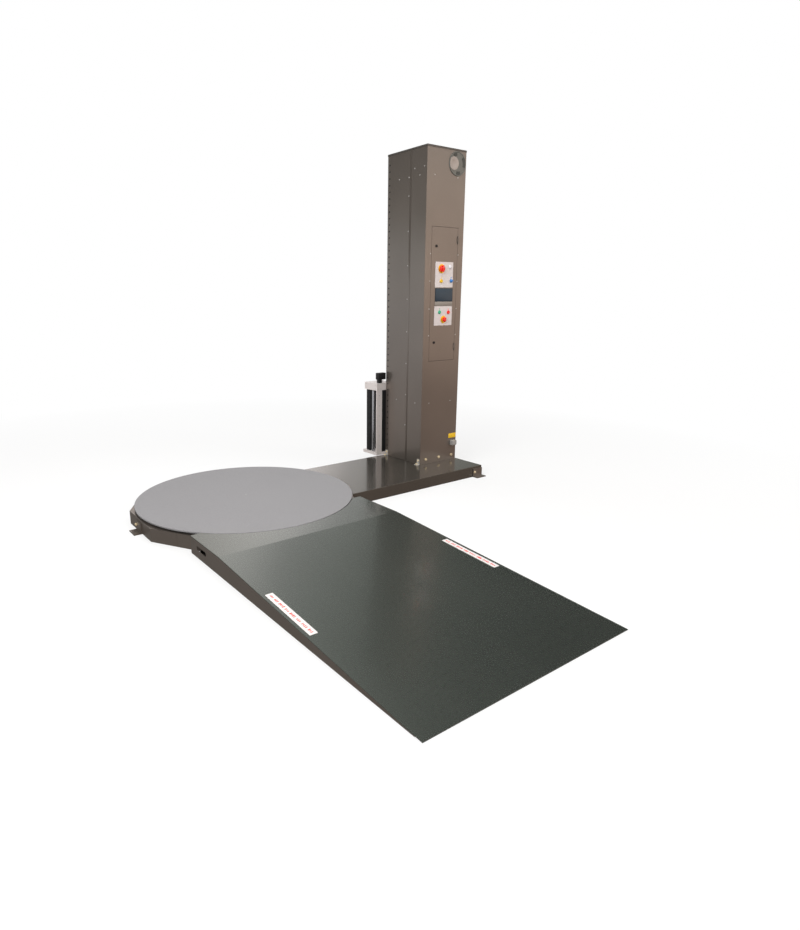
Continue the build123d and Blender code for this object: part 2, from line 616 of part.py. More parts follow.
def electrics_panel():
    """Mounting plate behind the door with its drives, contactors, terminals and standoffs."""
    y = 120
    x0, x1 = COL_X0 + 40, COL_X1 - 40
    parts = [block(x0, x1, y, y + SHEET, 800, 2050)]
    for x in (LIFT_X - 60, LIFT_X + 60):
        for z in (900, 1950):
            parts.append(rod_y(x, z, y + SHEET, MAST_Y[0], 6))
    for x, z, w, h, d in ((x0 + 20, 1700, 120, 180, 110), (x0 + 170, 1700, 120, 180, 110)):
        parts.append(block(x, x + w, y - d, y, z, z + h))
    for i in range(5):
        parts.append(block(x0 + 25 + i * 52, x0 + 70 + i * 52, y - 75, y, 1480, 1560))
    parts.append(block(x0 + 20, x1 - 20, y - 8, y, 1180, 1215))
    for i in range(14):
        x = x0 + 30 + i * 18
        parts.append(block(x, x + 16, y - 48, y - 8, 1172, 1222))
    parts.append(block(x0 + 60, x0 + 200, y - 110, y, 860, 980))
    return parts


def power_inlet():
    x, z = COL_X1 - 46, 236
    socket = block(x - 25, x + 25, COL_Y0 - 34, COL_Y0, z - 22, z + 22)
    socket = fillet(socket.edges().filter_by(Axis.Y), 5)
    lid = block(x - 22, x + 22, COL_Y0 - 38, COL_Y0 - 34, z - 18, z + 18)
    gland = Pos(x + 16, COL_Y0, z - 57) * Rot(90, 0, 0) * hexagon(26, 8)
    gland += rod_y(x + 16, z - 57, COL_Y0 - 22, COL_Y0 - 8, 10)
    gland = gland - rod_y(x + 16, z - 57, COL_Y0 - 23, COL_Y0 - 10, 5)
    return [socket, lid, gland]


save("side_covers", side_covers())
save("front_frame", front_frame())
save("back_covers", back_covers())
save("top_cap", top_cap())
save("round_badge", round_badge())
save("corner_brackets", corner_brackets())
save("fasteners", fasteners())
save("cover_screws", cover_screws())
save("electrics_panel", electrics_panel())
save("power_inlet", power_inlet())
save("warning_plate", block(COL_X1 - 89, COL_X1 - 2, COL_Y0 - 1, COL_Y0, 277, 316))

# ---- door and controls ---------------------------------------------------------------------
PANEL_T = 2
PANEL_Y = COL_Y0 - PANEL_T
DESK_X = DOOR_X0 + DOOR_W / 2           # middle of the controls
DESK_Z = DOOR_Z0 + DOOR_H / 2 - 12.5
PANEL_UP = (DESK_X - 95, DESK_X + 98, DESK_Z + 75, DESK_Z + 270)
PANEL_LOW = (DESK_X - 95, DESK_X + 100, DESK_Z - 223, DESK_Z - 71)
SCREEN = (DESK_X - 91, DESK_X + 101, DESK_Z - 69, DESK_Z + 69)
BUTTON_R = 11
STEM_R = 6
STEM_Y = COL_Y0 + 22    # inner end of every stem
PRESS = 3               # button travel
STROKE = 4              # emergency stop travel
MAIN_SWITCH = (DESK_X - 29, DESK_Z + 218)
LAMP = (DESK_X + 62, DESK_Z + 232)
RESET = (DESK_X - 30, DESK_Z + 123)
SELECTOR = (DESK_X + 80, DESK_Z + 126)
START = (DESK_X - 39, DESK_Z - 118)
STOP = (DESK_X + 59, DESK_Z - 120)
ESTOP = (DESK_X + 6, DESK_Z - 176)
LOCK_X = DOOR_X0 + 50
LOCK_Z = (DOOR_Z0 + 148, DOOR_Z1 - 143)
CAM_L = 62
STEMMED = (MAIN_SWITCH, RESET, SELECTOR, START, STOP, ESTOP)


def cabinet_door():
    door = block(DOOR_X0, DOOR_X1, COL_Y0, IN_Y0, DOOR_Z0, DOOR_Z1)
    rim = block(DOOR_X0 + 4, DOOR_X1 - 4, IN_Y0, IN_Y0 + RIM, DOOR_Z0 + 4, DOOR_Z1 - 4)
    door += rim - block(DOOR_X0 + 6, DOOR_X1 - 6, IN_Y0 - 1, IN_Y0 + RIM + 1,
                        DOOR_Z0 + 6, DOOR_Z1 - 6)
    for x, z in STEMMED:
        door -= rod_y(x, z, COL_Y0 - 1, IN_Y0 + 1, STEM_R + RUN)
    for z in LOCK_Z:
        door -= rod_y(LOCK_X, z, COL_Y0 - 1, IN_Y0 + 1, STEM_R + RUN)
    for z in HINGE_Z:
        leaf = block(HINGE_X - 14, HINGE_X, COL_Y0 - SHEET, COL_Y0, z, z + KNUCKLE)
        leaf += rod(HINGE_X, HINGE_Y, z, z + KNUCKLE, KNUCKLE_R)
        door += leaf - rod(HINGE_X, HINGE_Y, z - 1, z + KNUCKLE + 1, 2 + RUN)
    return door


def control_plates():
    plates = []
    for x0, x1, z0, z1 in (PANEL_UP, PANEL_LOW):
        plate = block(x0, x1, PANEL_Y, COL_Y0, z0, z1)
        for x, z in STEMMED:
            plate -= rod_y(x, z, PANEL_Y - 1, COL_Y0 + 1, STEM_R + RUN)
        plates.append(plate)
    for x, z in (RESET, START, STOP):
        bezel = rod_y(x, z, PANEL_Y - 4, PANEL_Y, BUTTON_R + 4)
        plates.append(bezel - rod_y(x, z, PANEL_Y - 5, PANEL_Y + 1, BUTTON_R + AIR))
    for (x, z), r in ((MAIN_SWITCH, 35), (ESTOP, 30)):
        collar = rod_y(x, z, PANEL_Y - 2, PANEL_Y, r)
        plates.append(collar - rod_y(x, z, PANEL_Y - 3, PANEL_Y + 1, STEM_R + RUN))
    lamp = rod_y(*LAMP, PANEL_Y - 9, PANEL_Y, BUTTON_R)
    plates.append(fillet(lamp.edges().filter_by(GeomType.CIRCLE).sort_by(Axis.Y)[:1], 5))
    return plates


def touch_screen():
    x0, x1, z0, z1 = SCREEN
    bezel = block(x0, x1, COL_Y0 - 4, COL_Y0, z0, z1)
    bezel -= block(x0 + 6, x1 - 4, COL_Y0 - 5, COL_Y0 - 2, z0 + 36, z1 - 4)
    glass = block(x0 + 6.2, x1 - 4.2, COL_Y0 - 3.6, COL_Y0 - 2, z0 + 36.2, z1 - 4.2)
    return [bezel, glass]


def push_button(place):
    x, z = place
    cap = rod_y(x, z, PANEL_Y - PRESS - 6, PANEL_Y - PRESS - AIR, BUTTON_R)
    cap = fillet(cap.edges().filter_by(GeomType.CIRCLE).sort_by(Axis.Y)[:1], 1.5)
    return cap + rod_y(x, z, PANEL_Y - PRESS - 2, STEM_Y, STEM_R)


def estop_head():
    x, z = ESTOP
    front = PANEL_Y - 2 - STROKE - AIR
    head = rod_y(x, z, front - 16, front - 3, 20)
    head = fillet(head.edges().filter_by(GeomType.CIRCLE).sort_by(Axis.Y)[:1], 6)
    return head + rod_y(x, z, front - 4, front, 13) + rod_y(x, z, front - 4, STEM_Y, STEM_R)


def main_switch_knob():
    x, z = MAIN_SWITCH
    back = PANEL_Y - 2 - AIR
    knob = rod_y(x, z, back - 8, back, 26) + block(x - 7, x + 7, back - 24, back, z - 25, z + 25)
    return knob + rod_y(x, z, back - 1, STEM_Y, STEM_R)


def blue_selector():
    x, z = SELECTOR
    back = PANEL_Y - AIR
    knob = rod_y(x, z, back - 6, back, 13) + block(x - 3.5, x + 3.5, back - 16, back, z - 12, z + 12)
    return knob + rod_y(x, z, back - 1, STEM_Y, STEM_R)


def quarter_turn_lock(z):
    """Lock whose cam hangs down when open and reaches behind the frame after a quarter turn."""
    cap = rod_y(LOCK_X, z, COL_Y0 - AIR - 5, COL_Y0 - AIR, 10)
    cap = chamfer(cap.edges().filter_by(GeomType.CIRCLE).sort_by(Axis.Y)[:1], 1)
    cap -= block(LOCK_X - 1.2, LOCK_X + 1.2, COL_Y0 - 7, COL_Y0 - 3, z - 7, z + 7)
    cam_y = IN_Y0 + RIM + DOOR_GAP + AIR
    cam = block(LOCK_X - 7, LOCK_X + 7, cam_y, cam_y + 3, z - CAM_L, z + 7)
    return cap + rod_y(LOCK_X, z, COL_Y0 - AIR - 1, cam_y + 2, STEM_R) + cam


save("cabinet_door", cabinet_door())
save("control_plates", control_plates())
save("touch_screen", touch_screen())
save("reset_button", push_button(RESET))
save("start_button", push_button(START))
save("stop_button", push_button(STOP))
save("estop_head", estop_head())
save("main_switch_knob", main_switch_knob())
save("blue_selector", blue_selector())
save("lock_lower", quarter_turn_lock(LOCK_Z[0]))
save("lock_upper", quarter_turn_lock(LOCK_Z[1]))

# ---- film carriage -------------------------------------------------------------------------
CAR_X0 = COL_X0 - 98
CAR_X1 = COL_X1 - 55
CAR_Y0 = HALF_W + 2
CAR_Y1 = CAR_Y0 + 173
CAR_Z0 = 90
CAR_BASE_T = 25
CAR_TOP = 732
HEAD_H = 62
CAR_WALL = 3
POST_W = 60
POST_T = 8
BACK_T = 6
HEAD_X1 = CAR_X0 + 190
FLOOR_Z = CAR_Z0 + CAR_BASE_T
HEAD_Z = CAR_TOP - HEAD_H
ROLLER_1 = (CAR_X0 + 32, CAR_Y0 + 135)
ROLLER_2 = (CAR_X0 + 121, CAR_Y0 + 135)
CHROME = (CAR_X0 + 19, CAR_Y0 + 70)
SPINDLE = (LIFT_X + 43, CAR_Y0 + 143)
STRETCH_R = (24, 15)      # pulleys that tie the two rubber rollers together
STRETCH_Z = HEAD_Z + 14
SHAFT_R = 8


def carriage_frame():
    foot = block(CAR_X0, CAR_X1, CAR_Y0, CAR_Y1 + 24, CAR_Z0, FLOOR_Z)
    foot = fillet(foot.edges().filter_by(Axis.Z), 6)
    head = block(CAR_X0, HEAD_X1, CAR_Y0, CAR_Y1, HEAD_Z, CAR_TOP)
    head = fillet(head.edges().filter_by(Axis.Z), 3)
    head -= block(CAR_X0 + CAR_WALL, HEAD_X1 - CAR_WALL, CAR_Y0 + POST_T, CAR_Y1 - CAR_WALL,
                  HEAD_Z + 8, CAR_TOP + 1)
    lid = block(CAR_X0 + CAR_WALL + FIT, HEAD_X1 - CAR_WALL - FIT, CAR_Y0 + POST_T + FIT,
                CAR_Y1 - CAR_WALL - FIT, CAR_TOP - 3, CAR_TOP)
    strut_z = HEAD_Z + 8
    for x, y in ((CAR_X0 + 60, CAR_Y0 + 30), (HEAD_X1 - 30, CAR_Y0 + 30)):
        lid += rod(x, y, strut_z, CAR_TOP - 2, 5)
    for (x, y), r in ((ROLLER_1, SHAFT_R), (ROLLER_2, SHAFT_R), (CHROME, 6)):
        head -= rod(x, y, HEAD_Z - 1, HEAD_Z + 9, r + RUN)
        foot -= rod(x, y, FLOOR_Z - 15, FLOOR_Z + 1, r + RUN)
    foot -= rod(*SPINDLE, FLOOR_Z - 15, FLOOR_Z + 1, 12 + RUN)
    post = block(CAR_X0, CAR_X0 + POST_W, CAR_Y0, CAR_Y0 + POST_T, FLOOR_Z, HEAD_Z)
    return [foot, head, lid, post]


def roller(place, radius, shaft_r, top, ends):
    x, y = place
    body = rod(x, y, FLOOR_Z + ends, HEAD_Z - ends, radius)
    body = chamfer(body.edges().filter_by(GeomType.CIRCLE), 2)
    return body + rod(x, y, FLOOR_Z - 14, top, shaft_r)


def film_spindle():
    x, y = SPINDLE
    core = rod(x, y, FLOOR_Z + AIR, FLOOR_Z + 12, 52)
    core += chamfer(rod(x, y, FLOOR_Z + 12, FLOOR_Z + 500, CORE_R).edges()
                    .filter_by(GeomType.CIRCLE).sort_by(Axis.Z)[-1:], 10)
    return core + rod(x, y, FLOOR_Z - 14, FLOOR_Z + 12, 12)


def carriage_slider():
    """Block in the mast, its neck out through the slot, and four plastic guide shoes."""
    y0 = PULLEY_Y + LIFT_PULLEY_R + 4 + AIR
    low, high = 240, 620
    body = block(LIFT_X - 60, LIFT_X + 60, y0, MAST_Y[1] + 6, low, high)
    body += block(LIFT_X - 50, LIFT_X + 50, MAST_Y[1], CAR_Y0 + POST_T, low + 40, high - 40)
    parts = [body]
    rail_face = MAST_X0 + MAST_T + RAIL_T + AIR
    for z in (low + 20, high - 80):
        parts.append(block(rail_face, LIFT_X - 60, *RAIL_Y, z, z + 60))
        parts.append(block(LIFT_X + 60, 2 * LIFT_X - rail_face, *RAIL_Y, z, z + 60))
    return parts


def photocell():
    x = CAR_X0 + 22
    stem = block(x + 8, x + 40, CAR_Y0 + 6, CAR_Y0 + 40, CAR_TOP, CAR_TOP + 30)
    eye = block(x, x + 80, CAR_Y0, CAR_Y0 + 46, CAR_TOP + 30, CAR_TOP + 88)
    eye = fillet(eye.edges(), 3)
    return stem + eye


def stretch_belt():
    (x0, y0), (x1, y1) = ROLLER_1, ROLLER_2
    loop = belt_loop(STRETCH_R[0], hypot(x1 - x0, y1 - y0), STRETCH_R[1], 3, 14)
    return Pos(x0, y0, STRETCH_Z) * loop


back_plate = block(CAR_X0 + 20, CAR_X1, CAR_Y0 + POST_T, CAR_Y0 + POST_T + BACK_T, FLOOR_Z, HEAD_Z)
rollers = []
for place, pulley_r in ((ROLLER_1, STRETCH_R[0]), (ROLLER_2, STRETCH_R[1])):
    body = roller(place, ROLLER_R, SHAFT_R, STRETCH_Z + 16, 5)
    rollers.append(body + rod(*place, STRETCH_Z, STRETCH_Z + 14, pulley_r))
save("carriage_frame", carriage_frame())
save("carriage_plate", back_plate)
save("carriage_slider", carriage_slider())
save("photocell", photocell())
save("rubber_roller_1", rollers[0])
save("rubber_roller_2", rollers[1])
save("chrome_roller", roller(CHROME, CHROME_R, 6, HEAD_Z + 8, 4))
save("stretch_belt", stretch_belt())
save("film_spindle", film_spindle())
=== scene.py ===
import bpy
import bmesh
import json
from math import atan2, cos, pi, radians, sin, sqrt
from mathutils import Matrix, Vector


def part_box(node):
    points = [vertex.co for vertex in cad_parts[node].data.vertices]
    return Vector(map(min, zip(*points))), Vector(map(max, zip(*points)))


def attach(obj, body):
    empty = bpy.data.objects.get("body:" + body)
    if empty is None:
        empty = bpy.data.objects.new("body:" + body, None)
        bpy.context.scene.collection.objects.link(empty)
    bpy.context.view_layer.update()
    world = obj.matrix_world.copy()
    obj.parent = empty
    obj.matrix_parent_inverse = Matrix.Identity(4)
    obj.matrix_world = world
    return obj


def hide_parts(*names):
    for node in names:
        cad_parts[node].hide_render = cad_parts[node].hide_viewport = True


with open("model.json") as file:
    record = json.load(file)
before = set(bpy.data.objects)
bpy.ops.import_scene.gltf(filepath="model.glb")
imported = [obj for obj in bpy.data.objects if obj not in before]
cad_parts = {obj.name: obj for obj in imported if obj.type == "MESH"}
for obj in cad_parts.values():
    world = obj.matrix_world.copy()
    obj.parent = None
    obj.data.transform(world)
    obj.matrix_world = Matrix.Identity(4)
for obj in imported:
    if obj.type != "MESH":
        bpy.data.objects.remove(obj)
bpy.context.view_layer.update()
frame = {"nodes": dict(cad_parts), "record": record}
nodes = frame["nodes"]
MM = 0.001


# ---- shader toolkit --------------------------------------------------------------------------
def arithmetic(operation, swapped=False):
    """Method that joins a value and its operand in a Math node."""
    def method(self, other):
        first, second = (other, self) if swapped else (self, other)
        return self.paint.node("ShaderNodeMath", {"operation": operation}, {0: first, 1: second})
    return method


class Value:
    """A socket whose arithmetic adds Math nodes to its material."""

    def __init__(self, paint, socket):
        self.paint = paint
        self.socket = socket

    __add__, __radd__ = arithmetic("ADD"), arithmetic("ADD", True)
    __sub__, __rsub__ = arithmetic("SUBTRACT"), arithmetic("SUBTRACT", True)
    __mul__ = arithmetic("MULTIPLY")


class ShaderTree:
    """A shader tree in the making."""

    def __init__(self, tree):
        self.tree = tree

    def feed(self, socket, value):
        if isinstance(value, Value):
            self.tree.links.new(value.socket, socket)
        elif socket.type == "RGBA" and len(value) == 3:
            socket.default_value = (*value, 1)
        else:
            socket.default_value = value

    def node(self, kind, settings=None, sockets=None, output=0):
        made = self.tree.nodes.new(kind)
        for key, value in (settings or {}).items():
            setattr(made, key, value)
        for key, value in (sockets or {}).items():
            self.feed(made.inputs[key], value)
        return Value(self, made.outputs[output])

    def axis(self, name, place):
        return self.node("ShaderNodeSeparateXYZ", {}, {0: place}, output=name)

    def between(self, value, low, high, out_low=0.0, out_high=1.0):
        return self.node("ShaderNodeMapRange", {"clamp": True},
                         {"Value": value, "From Min": low, "From Max": high,
                          "To Min": out_low, "To Max": out_high})

    def mix(self, factor, first, second):
        return self.node("ShaderNodeMix", {"data_type": "RGBA"}, {0: factor, 6: first, 7: second}, output=2)


class Paint(ShaderTree):
    """A finish being mixed: a material, its Principled shader and the nodes that feed it."""

    def __init__(self, name, **fixed):
        self.material = bpy.data.materials.new(name)
        self.material.use_nodes = True
        super().__init__(self.material.node_tree)
        self.shader = self.tree.nodes["Principled BSDF"]
        for key, value in fixed.items():
            self.set(key.replace("_", " ").title(), value)
        self.place = self.node("ShaderNodeTexCoord", output="Object")

    def set(self, socket, value):
        self.feed(self.shader.inputs[socket], value)

    def stretched(self, x=1.0, y=1.0, z=1.0):
        return self.node("ShaderNodeMapping", {}, {"Vector": self.place, "Scale": (x, y, z)})

    def noise(self, scale, detail=2.0, roughness=0.5, place=None):
        return self.node("ShaderNodeTexNoise", {}, {"Vector": place or self.place, "Scale": scale,
                                                    "Detail": detail, "Roughness": roughness})

    def bump(self, height, distance, strength=1.0):
        self.set("Normal", self.node("ShaderNodeBump", {}, {"Height": height, "Distance": distance,
                                                            "Strength": strength}))


# ---- geometry-nodes toolkit -------------------------------------------------------------------
class Grower:
    """A geometry-nodes tree in the making, with named inputs for its sizes."""

    def __init__(self, name, **inputs):
        self.tree = bpy.data.node_groups.new(name, "GeometryNodeTree")
        face = self.tree.interface
        face.new_socket("Places", in_out="INPUT", socket_type="NodeSocketGeometry")
        self.keys = {}
        for label, value in inputs.items():
            kind = {int: "Int", float: "Float", tuple: "Vector"}.get(type(value), "Material")
            made = face.new_socket(label.replace("_", " ").title(), in_out="INPUT",
                                   socket_type="NodeSocket" + kind)
            if kind != "Material":
                made.default_value = value
            self.keys[label] = (made.identifier, value)
        face.new_socket("Result", in_out="OUTPUT", socket_type="NodeSocketGeometry")
        self.source = self.tree.nodes.new("NodeGroupInput")

    def given(self, label):
        return self.source.outputs[label.replace("_", " ").title()]

    def node(self, kind, settings=None, sockets=None, output=0):
        made = self.tree.nodes.new(kind)
        for key, value in (settings or {}).items():
            setattr(made, key, value)
        for key, value in (sockets or {}).items():
            for item in value if isinstance(value, list) else [value]:
                if isinstance(item, bpy.types.NodeSocket):
                    self.tree.links.new(item, made.inputs[key])
                else:
                    made.inputs[key].default_value = item
        return made.outputs[output]

    def maths(self, operation, first, second):
        return self.node("ShaderNodeMath", {"operation": operation}, {0: first, 1: second})

    def vector(self, x=0.0, y=0.0, z=0.0):
        return self.node("ShaderNodeCombineXYZ", {}, {0: x, 1: y, 2: z})

    def attribute(self, name, kind):
        return self.node("GeometryNodeInputNamedAttribute", {"data_type": kind}, {"Name": name})

    def moved(self, shape, place=(0, 0, 0), scale=(1, 1, 1)):
        return self.node("GeometryNodeTransform", {},
                         {"Geometry": shape, "Translation": place, "Scale": scale})

    def cube(self, size, place=(0, 0, 0)):
        return self.moved(self.node("GeometryNodeMeshCube", {}, {"Size": size}), place)

    def drum(self, radius, depth, sides, place=(0, 0, 0)):
        return self.moved(self.node("GeometryNodeMeshCylinder", {},
                                    {"Vertices": sides, "Radius": radius, "Depth": depth}), place)

    def joined(self, *shapes):
        return self.node("GeometryNodeJoinGeometry", {}, {0: list(shapes)})

    def carve(self, shape, *cutters):
        return self.node("GeometryNodeMeshBoolean", {"operation": "DIFFERENCE", "solver": "EXACT"},
                         {0: shape, 1: list(cutters)})

    def common(self, *shapes):
        return self.node("GeometryNodeMeshBoolean", {"operation": "INTERSECT", "solver": "EXACT"},
                         {1: list(shapes)})

    def scatter(self, instance, spin=None, scale=None):
        """Copies of a shape at the places, each turned to its own facing and set to its own size."""
        turn = self.node("FunctionNodeAlignRotationToVector", {"axis": "Z"},
                         {"Vector": self.attribute("facing", "FLOAT_VECTOR")})
        copies = self.node("GeometryNodeInstanceOnPoints", {},
                           {"Points": self.given("places"), "Instance": instance, "Rotation": turn,
                            "Scale": scale or self.attribute("size", "FLOAT")})
        if spin is not None:
            copies = self.node("GeometryNodeRotateInstances", {},
                               {"Instances": copies, "Rotation": self.vector(z=spin), "Local Space": True})
        return copies

    def any_turn(self):
        """A different turn for every copy, the same on every run."""
        return self.node("FunctionNodeRandomValue", {"data_type": "FLOAT"},
                         {2: 0.0, 3: 2 * pi, 8: self.given("seed")}, output=1)

    def close(self, shape):
        real = self.node("GeometryNodeRealizeInstances", {}, {0: shape})
        done = self.node("GeometryNodeSetMaterial", {}, {"Geometry": real, "Material": self.given("finish")})
        end = self.tree.nodes.new("NodeGroupOutput")
        self.tree.links.new(done, end.inputs[0])
        return self


def grow(name, grower, places, body, slot, replaces=(), **sizes):
    """Run a tree over places, each (point, facing, size), and keep the result as a plain mesh."""
    seeds = bpy.data.meshes.new(name)
    seeds.from_pydata([place[0] for place in places], [], [])
    seeds.attributes.new("facing", "FLOAT_VECTOR", "POINT").data.foreach_set(
        "vector", [c for place in places for c in place[1]])
    seeds.attributes.new("size", "FLOAT", "POINT").data.foreach_set(
        "value", [place[2] for place in places])
    piece = shown(name, seeds)
    growth = piece.modifiers.new("growth", "NODES")
    growth.node_group = grower.tree
    for label, (identifier, value) in grower.keys.items():
        growth[identifier] = sizes.get(label, value)
    seen = piece.evaluated_get(bpy.context.evaluated_depsgraph_get())
    mesh = bpy.data.meshes.new_from_object(seen)
    piece.modifiers.clear()
    piece.data = mesh
    return settle(piece, body, replaces)


# ---- mesh toolkit ------------------------------------------------------------------------------
def settle(piece, body, replaces=()):
    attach(piece, body)
    if replaces:
        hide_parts(*replaces)
    return piece


def islands(bm):
    """Separate solids of a merged mesh, as lists of vertices."""
    left, found = set(bm.verts), []
    while left:
        edge = [left.pop()]
        group = list(edge)
        while edge:
            near = dict.fromkeys(e.other_vert(v) for v in edge for e in v.link_edges)
            edge = [v for v in near if v in left]
            left.difference_update(edge)
            group += edge
        found.append(group)
    return found


def box_of(verts):
    return (Vector([min(v.co[i] for v in verts) for i in range(3)]),
            Vector([max(v.co[i] for v in verts) for i in range(3)]))


def merged(node):
    bm = bmesh.new()
    bm.from_mesh(nodes[node].data)
    bmesh.ops.remove_doubles(bm, verts=bm.verts, dist=1e-6)
    return bm


def solids(node):
    """Boxes of a CAD node's separate solids, as (lowest, highest), from the lowest x up."""
    bm = merged(node)
    boxes = [box_of(group) for group in islands(bm)]
    bm.free()
    return sorted(boxes, key=lambda box: tuple(round(c, 6) for c in (*box[0], *box[1])))


def middle(box):
    return (box[0] + box[1]) / 2


def span(box):
    return box[1] - box[0]


def in_mm(points):
    return [(a * MM, b * MM) for a, b in points]


def shown(name, mesh):
    """An object made from a mesh and put in the scene."""
    made = bpy.data.objects.new(name, mesh)
    bpy.context.scene.collection.objects.link(made)
    return made


def facing(direction, point=(0, 0, 0)):
    """Matrix that stands a shape drawn along +Z on a point, looking in a direction."""
    return Matrix.Translation(point) @ Vector(direction).to_track_quat("Z", "Y").to_matrix().to_4x4()


TO_FRONT = Matrix(((1, 0, 0, 0), (0, 0, -1, 0), (0, 1, 0, 0), (0, 0, 0, 1)))


def on_front(x, y, z):
    """Matrix for a shape drawn in X and Y that shall face -Y with its own Y up."""
    return Matrix.Translation((x, y, z)) @ TO_FRONT


class Shape:
    """A piece under construction."""

    def __init__(self, bm=None):
        self.bm = bmesh.new() if bm is None else bm

    def box(self, low, high, soft=0.0, steps=2, place=None):
        """Box between two corners, its edges rounded over."""
        low, high = Vector(low), Vector(high)
        made = bmesh.ops.create_cube(self.bm, size=1.0)["verts"]
        for v in made:
            v.co = (low + high) / 2 + Vector(v.co[i] * (high[i] - low[i]) for i in range(3))
        if soft:
            edges = {e for v in made for e in v.link_edges}
            made = bmesh.ops.bevel(self.bm, geom=list(edges), offset=soft, segments=steps, profile=0.5,
                                   affect="EDGES")["verts"] + [v for v in made if v.is_valid]
        if place:
            bmesh.ops.transform(self.bm, matrix=place, verts=list(dict.fromkeys(made)))
        return self

    def turned(self, profile, place=None, steps=32):
        """Turned shape round Z from (radius, height) points; a radius of 0 closes an end."""
        rings, made = [], []
        for radius, height in profile:
            count = steps if radius > 0 else 1
            ring = [self.bm.verts.new((radius * cos(2 * pi * i / steps), radius * sin(2 * pi * i / steps),
                                       height)) for i in range(count)]
            rings.append(ring)
            made += ring
        for low, high in zip(rings, rings[1:]):
            for i in range(steps):
                j = (i + 1) % steps
                corners = [low[i % len(low)], low[j % len(low)], high[j % len(high)], high[i % len(high)]]
                self.bm.faces.new(list(dict.fromkeys(corners)))
        if profile[0] == profile[-1]:
            bmesh.ops.remove_doubles(self.bm, verts=rings[0] + rings[-1], dist=1e-7)
            made = [v for v in made if v.is_valid]
        if place:
            bmesh.ops.transform(self.bm, matrix=place, verts=made)
        return self

    def plate(self, outline, height, soft=0.0, place=None):
        """Flat plate over an outline in X and Y, from 0 up, its top edge rounded over."""
        levels = [[(x, y, 0.0) for x, y in outline]]
        cx = sum(x for x, _ in outline) / len(outline)
        cy = sum(y for _, y in outline) / len(outline)
        reach = max(max(abs(x - cx), abs(y - cy)) for x, y in outline)
        for step in range(4 if soft else 1):
            lean = step / 3 * pi / 2 if soft else pi / 2
            shrink = 1 - soft * (1 - cos(lean)) / reach
            rise = height - soft * (1 - sin(lean))
            levels.append([(cx + (x - cx) * shrink, cy + (y - cy) * shrink, rise) for x, y in outline])
        rows = [[self.bm.verts.new(p) for p in level] for level in levels]
        for low, high in zip(rows, rows[1:]):
            for i in range(len(low)):
                j = (i + 1) % len(low)
                self.bm.faces.new((low[i], low[j], high[j], high[i]))
        self.bm.faces.new(rows[0][::-1])
        self.bm.faces.new(rows[-1])
        if place:
            bmesh.ops.transform(self.bm, matrix=place, verts=[v for row in rows for v in row])
        return self

    def cad(self, node, wanted):
        """The solids of a CAD node whose boxes pass a test."""
        bm = merged(node)
        spare = [v for group in islands(bm) if not wanted(box_of(group)) for v in group]
        bmesh.ops.delete(bm, geom=spare, context="VERTS")
        copy = bpy.data.meshes.new("copy")
        bm.to_mesh(copy)
        bm.free()
        self.bm.from_mesh(copy)
        bpy.data.meshes.remove(copy)
        return self

    def piece(self, name, body, slot, replaces=(), finish=None, smooth=35):
        """Close the shape, give it its finish and let it ride on its body."""
        bmesh.ops.recalc_face_normals(self.bm, faces=self.bm.faces)
        mesh = bpy.data.meshes.new(name)
        self.bm.to_mesh(mesh)
        self.bm.free()
        mesh.polygons.foreach_set("use_smooth", [True] * len(mesh.polygons))
        mesh.set_sharp_from_angle(angle=radians(smooth))
        mesh.materials.append(finish or FINISHES[slot])
        return settle(shown(name, mesh), body, replaces)


def softened(name, node, body, slot, width, finish):
    """A CAD node's own shape with its sharp edges broken."""
    bm = merged(node)
    bmesh.ops.dissolve_limit(bm, angle_limit=radians(0.5), verts=bm.verts, edges=bm.edges)
    sharp = [e for e in bm.edges if len(e.link_faces) == 2 and e.calc_face_angle() > radians(30)]
    bmesh.ops.bevel(bm, geom=sharp, offset=width, segments=2, profile=0.5, affect="EDGES",
                    clamp_overlap=True)
    Shape(bm).piece(name, body, slot, [node], finish, smooth=1)


def lathe(profile, place, steps=32):
    """Shape turned from (radius, height) points in millimetres."""
    return Shape().turned(in_mm(profile), place, steps)


def rounded(width, height, radius):
    """Outline of a rectangle with round corners, about the origin."""
    steps, points = 5, []
    for quarter in range(4):
        sx, sy = ((1, 1), (-1, 1), (-1, -1), (1, -1))[quarter]
        for step in range(steps + 1):
            angle = (quarter + step / steps) * pi / 2
            points.append((sx * (width / 2 - radius) + radius * cos(angle),
                           sy * (height / 2 - radius) + radius * sin(angle)))
    return points


# ---- finishes --------------------------------------------------------------------------------
def shaded(colour, factor, lift=0.0):
    return tuple(min(1.0, c * factor + lift) for c in colour)


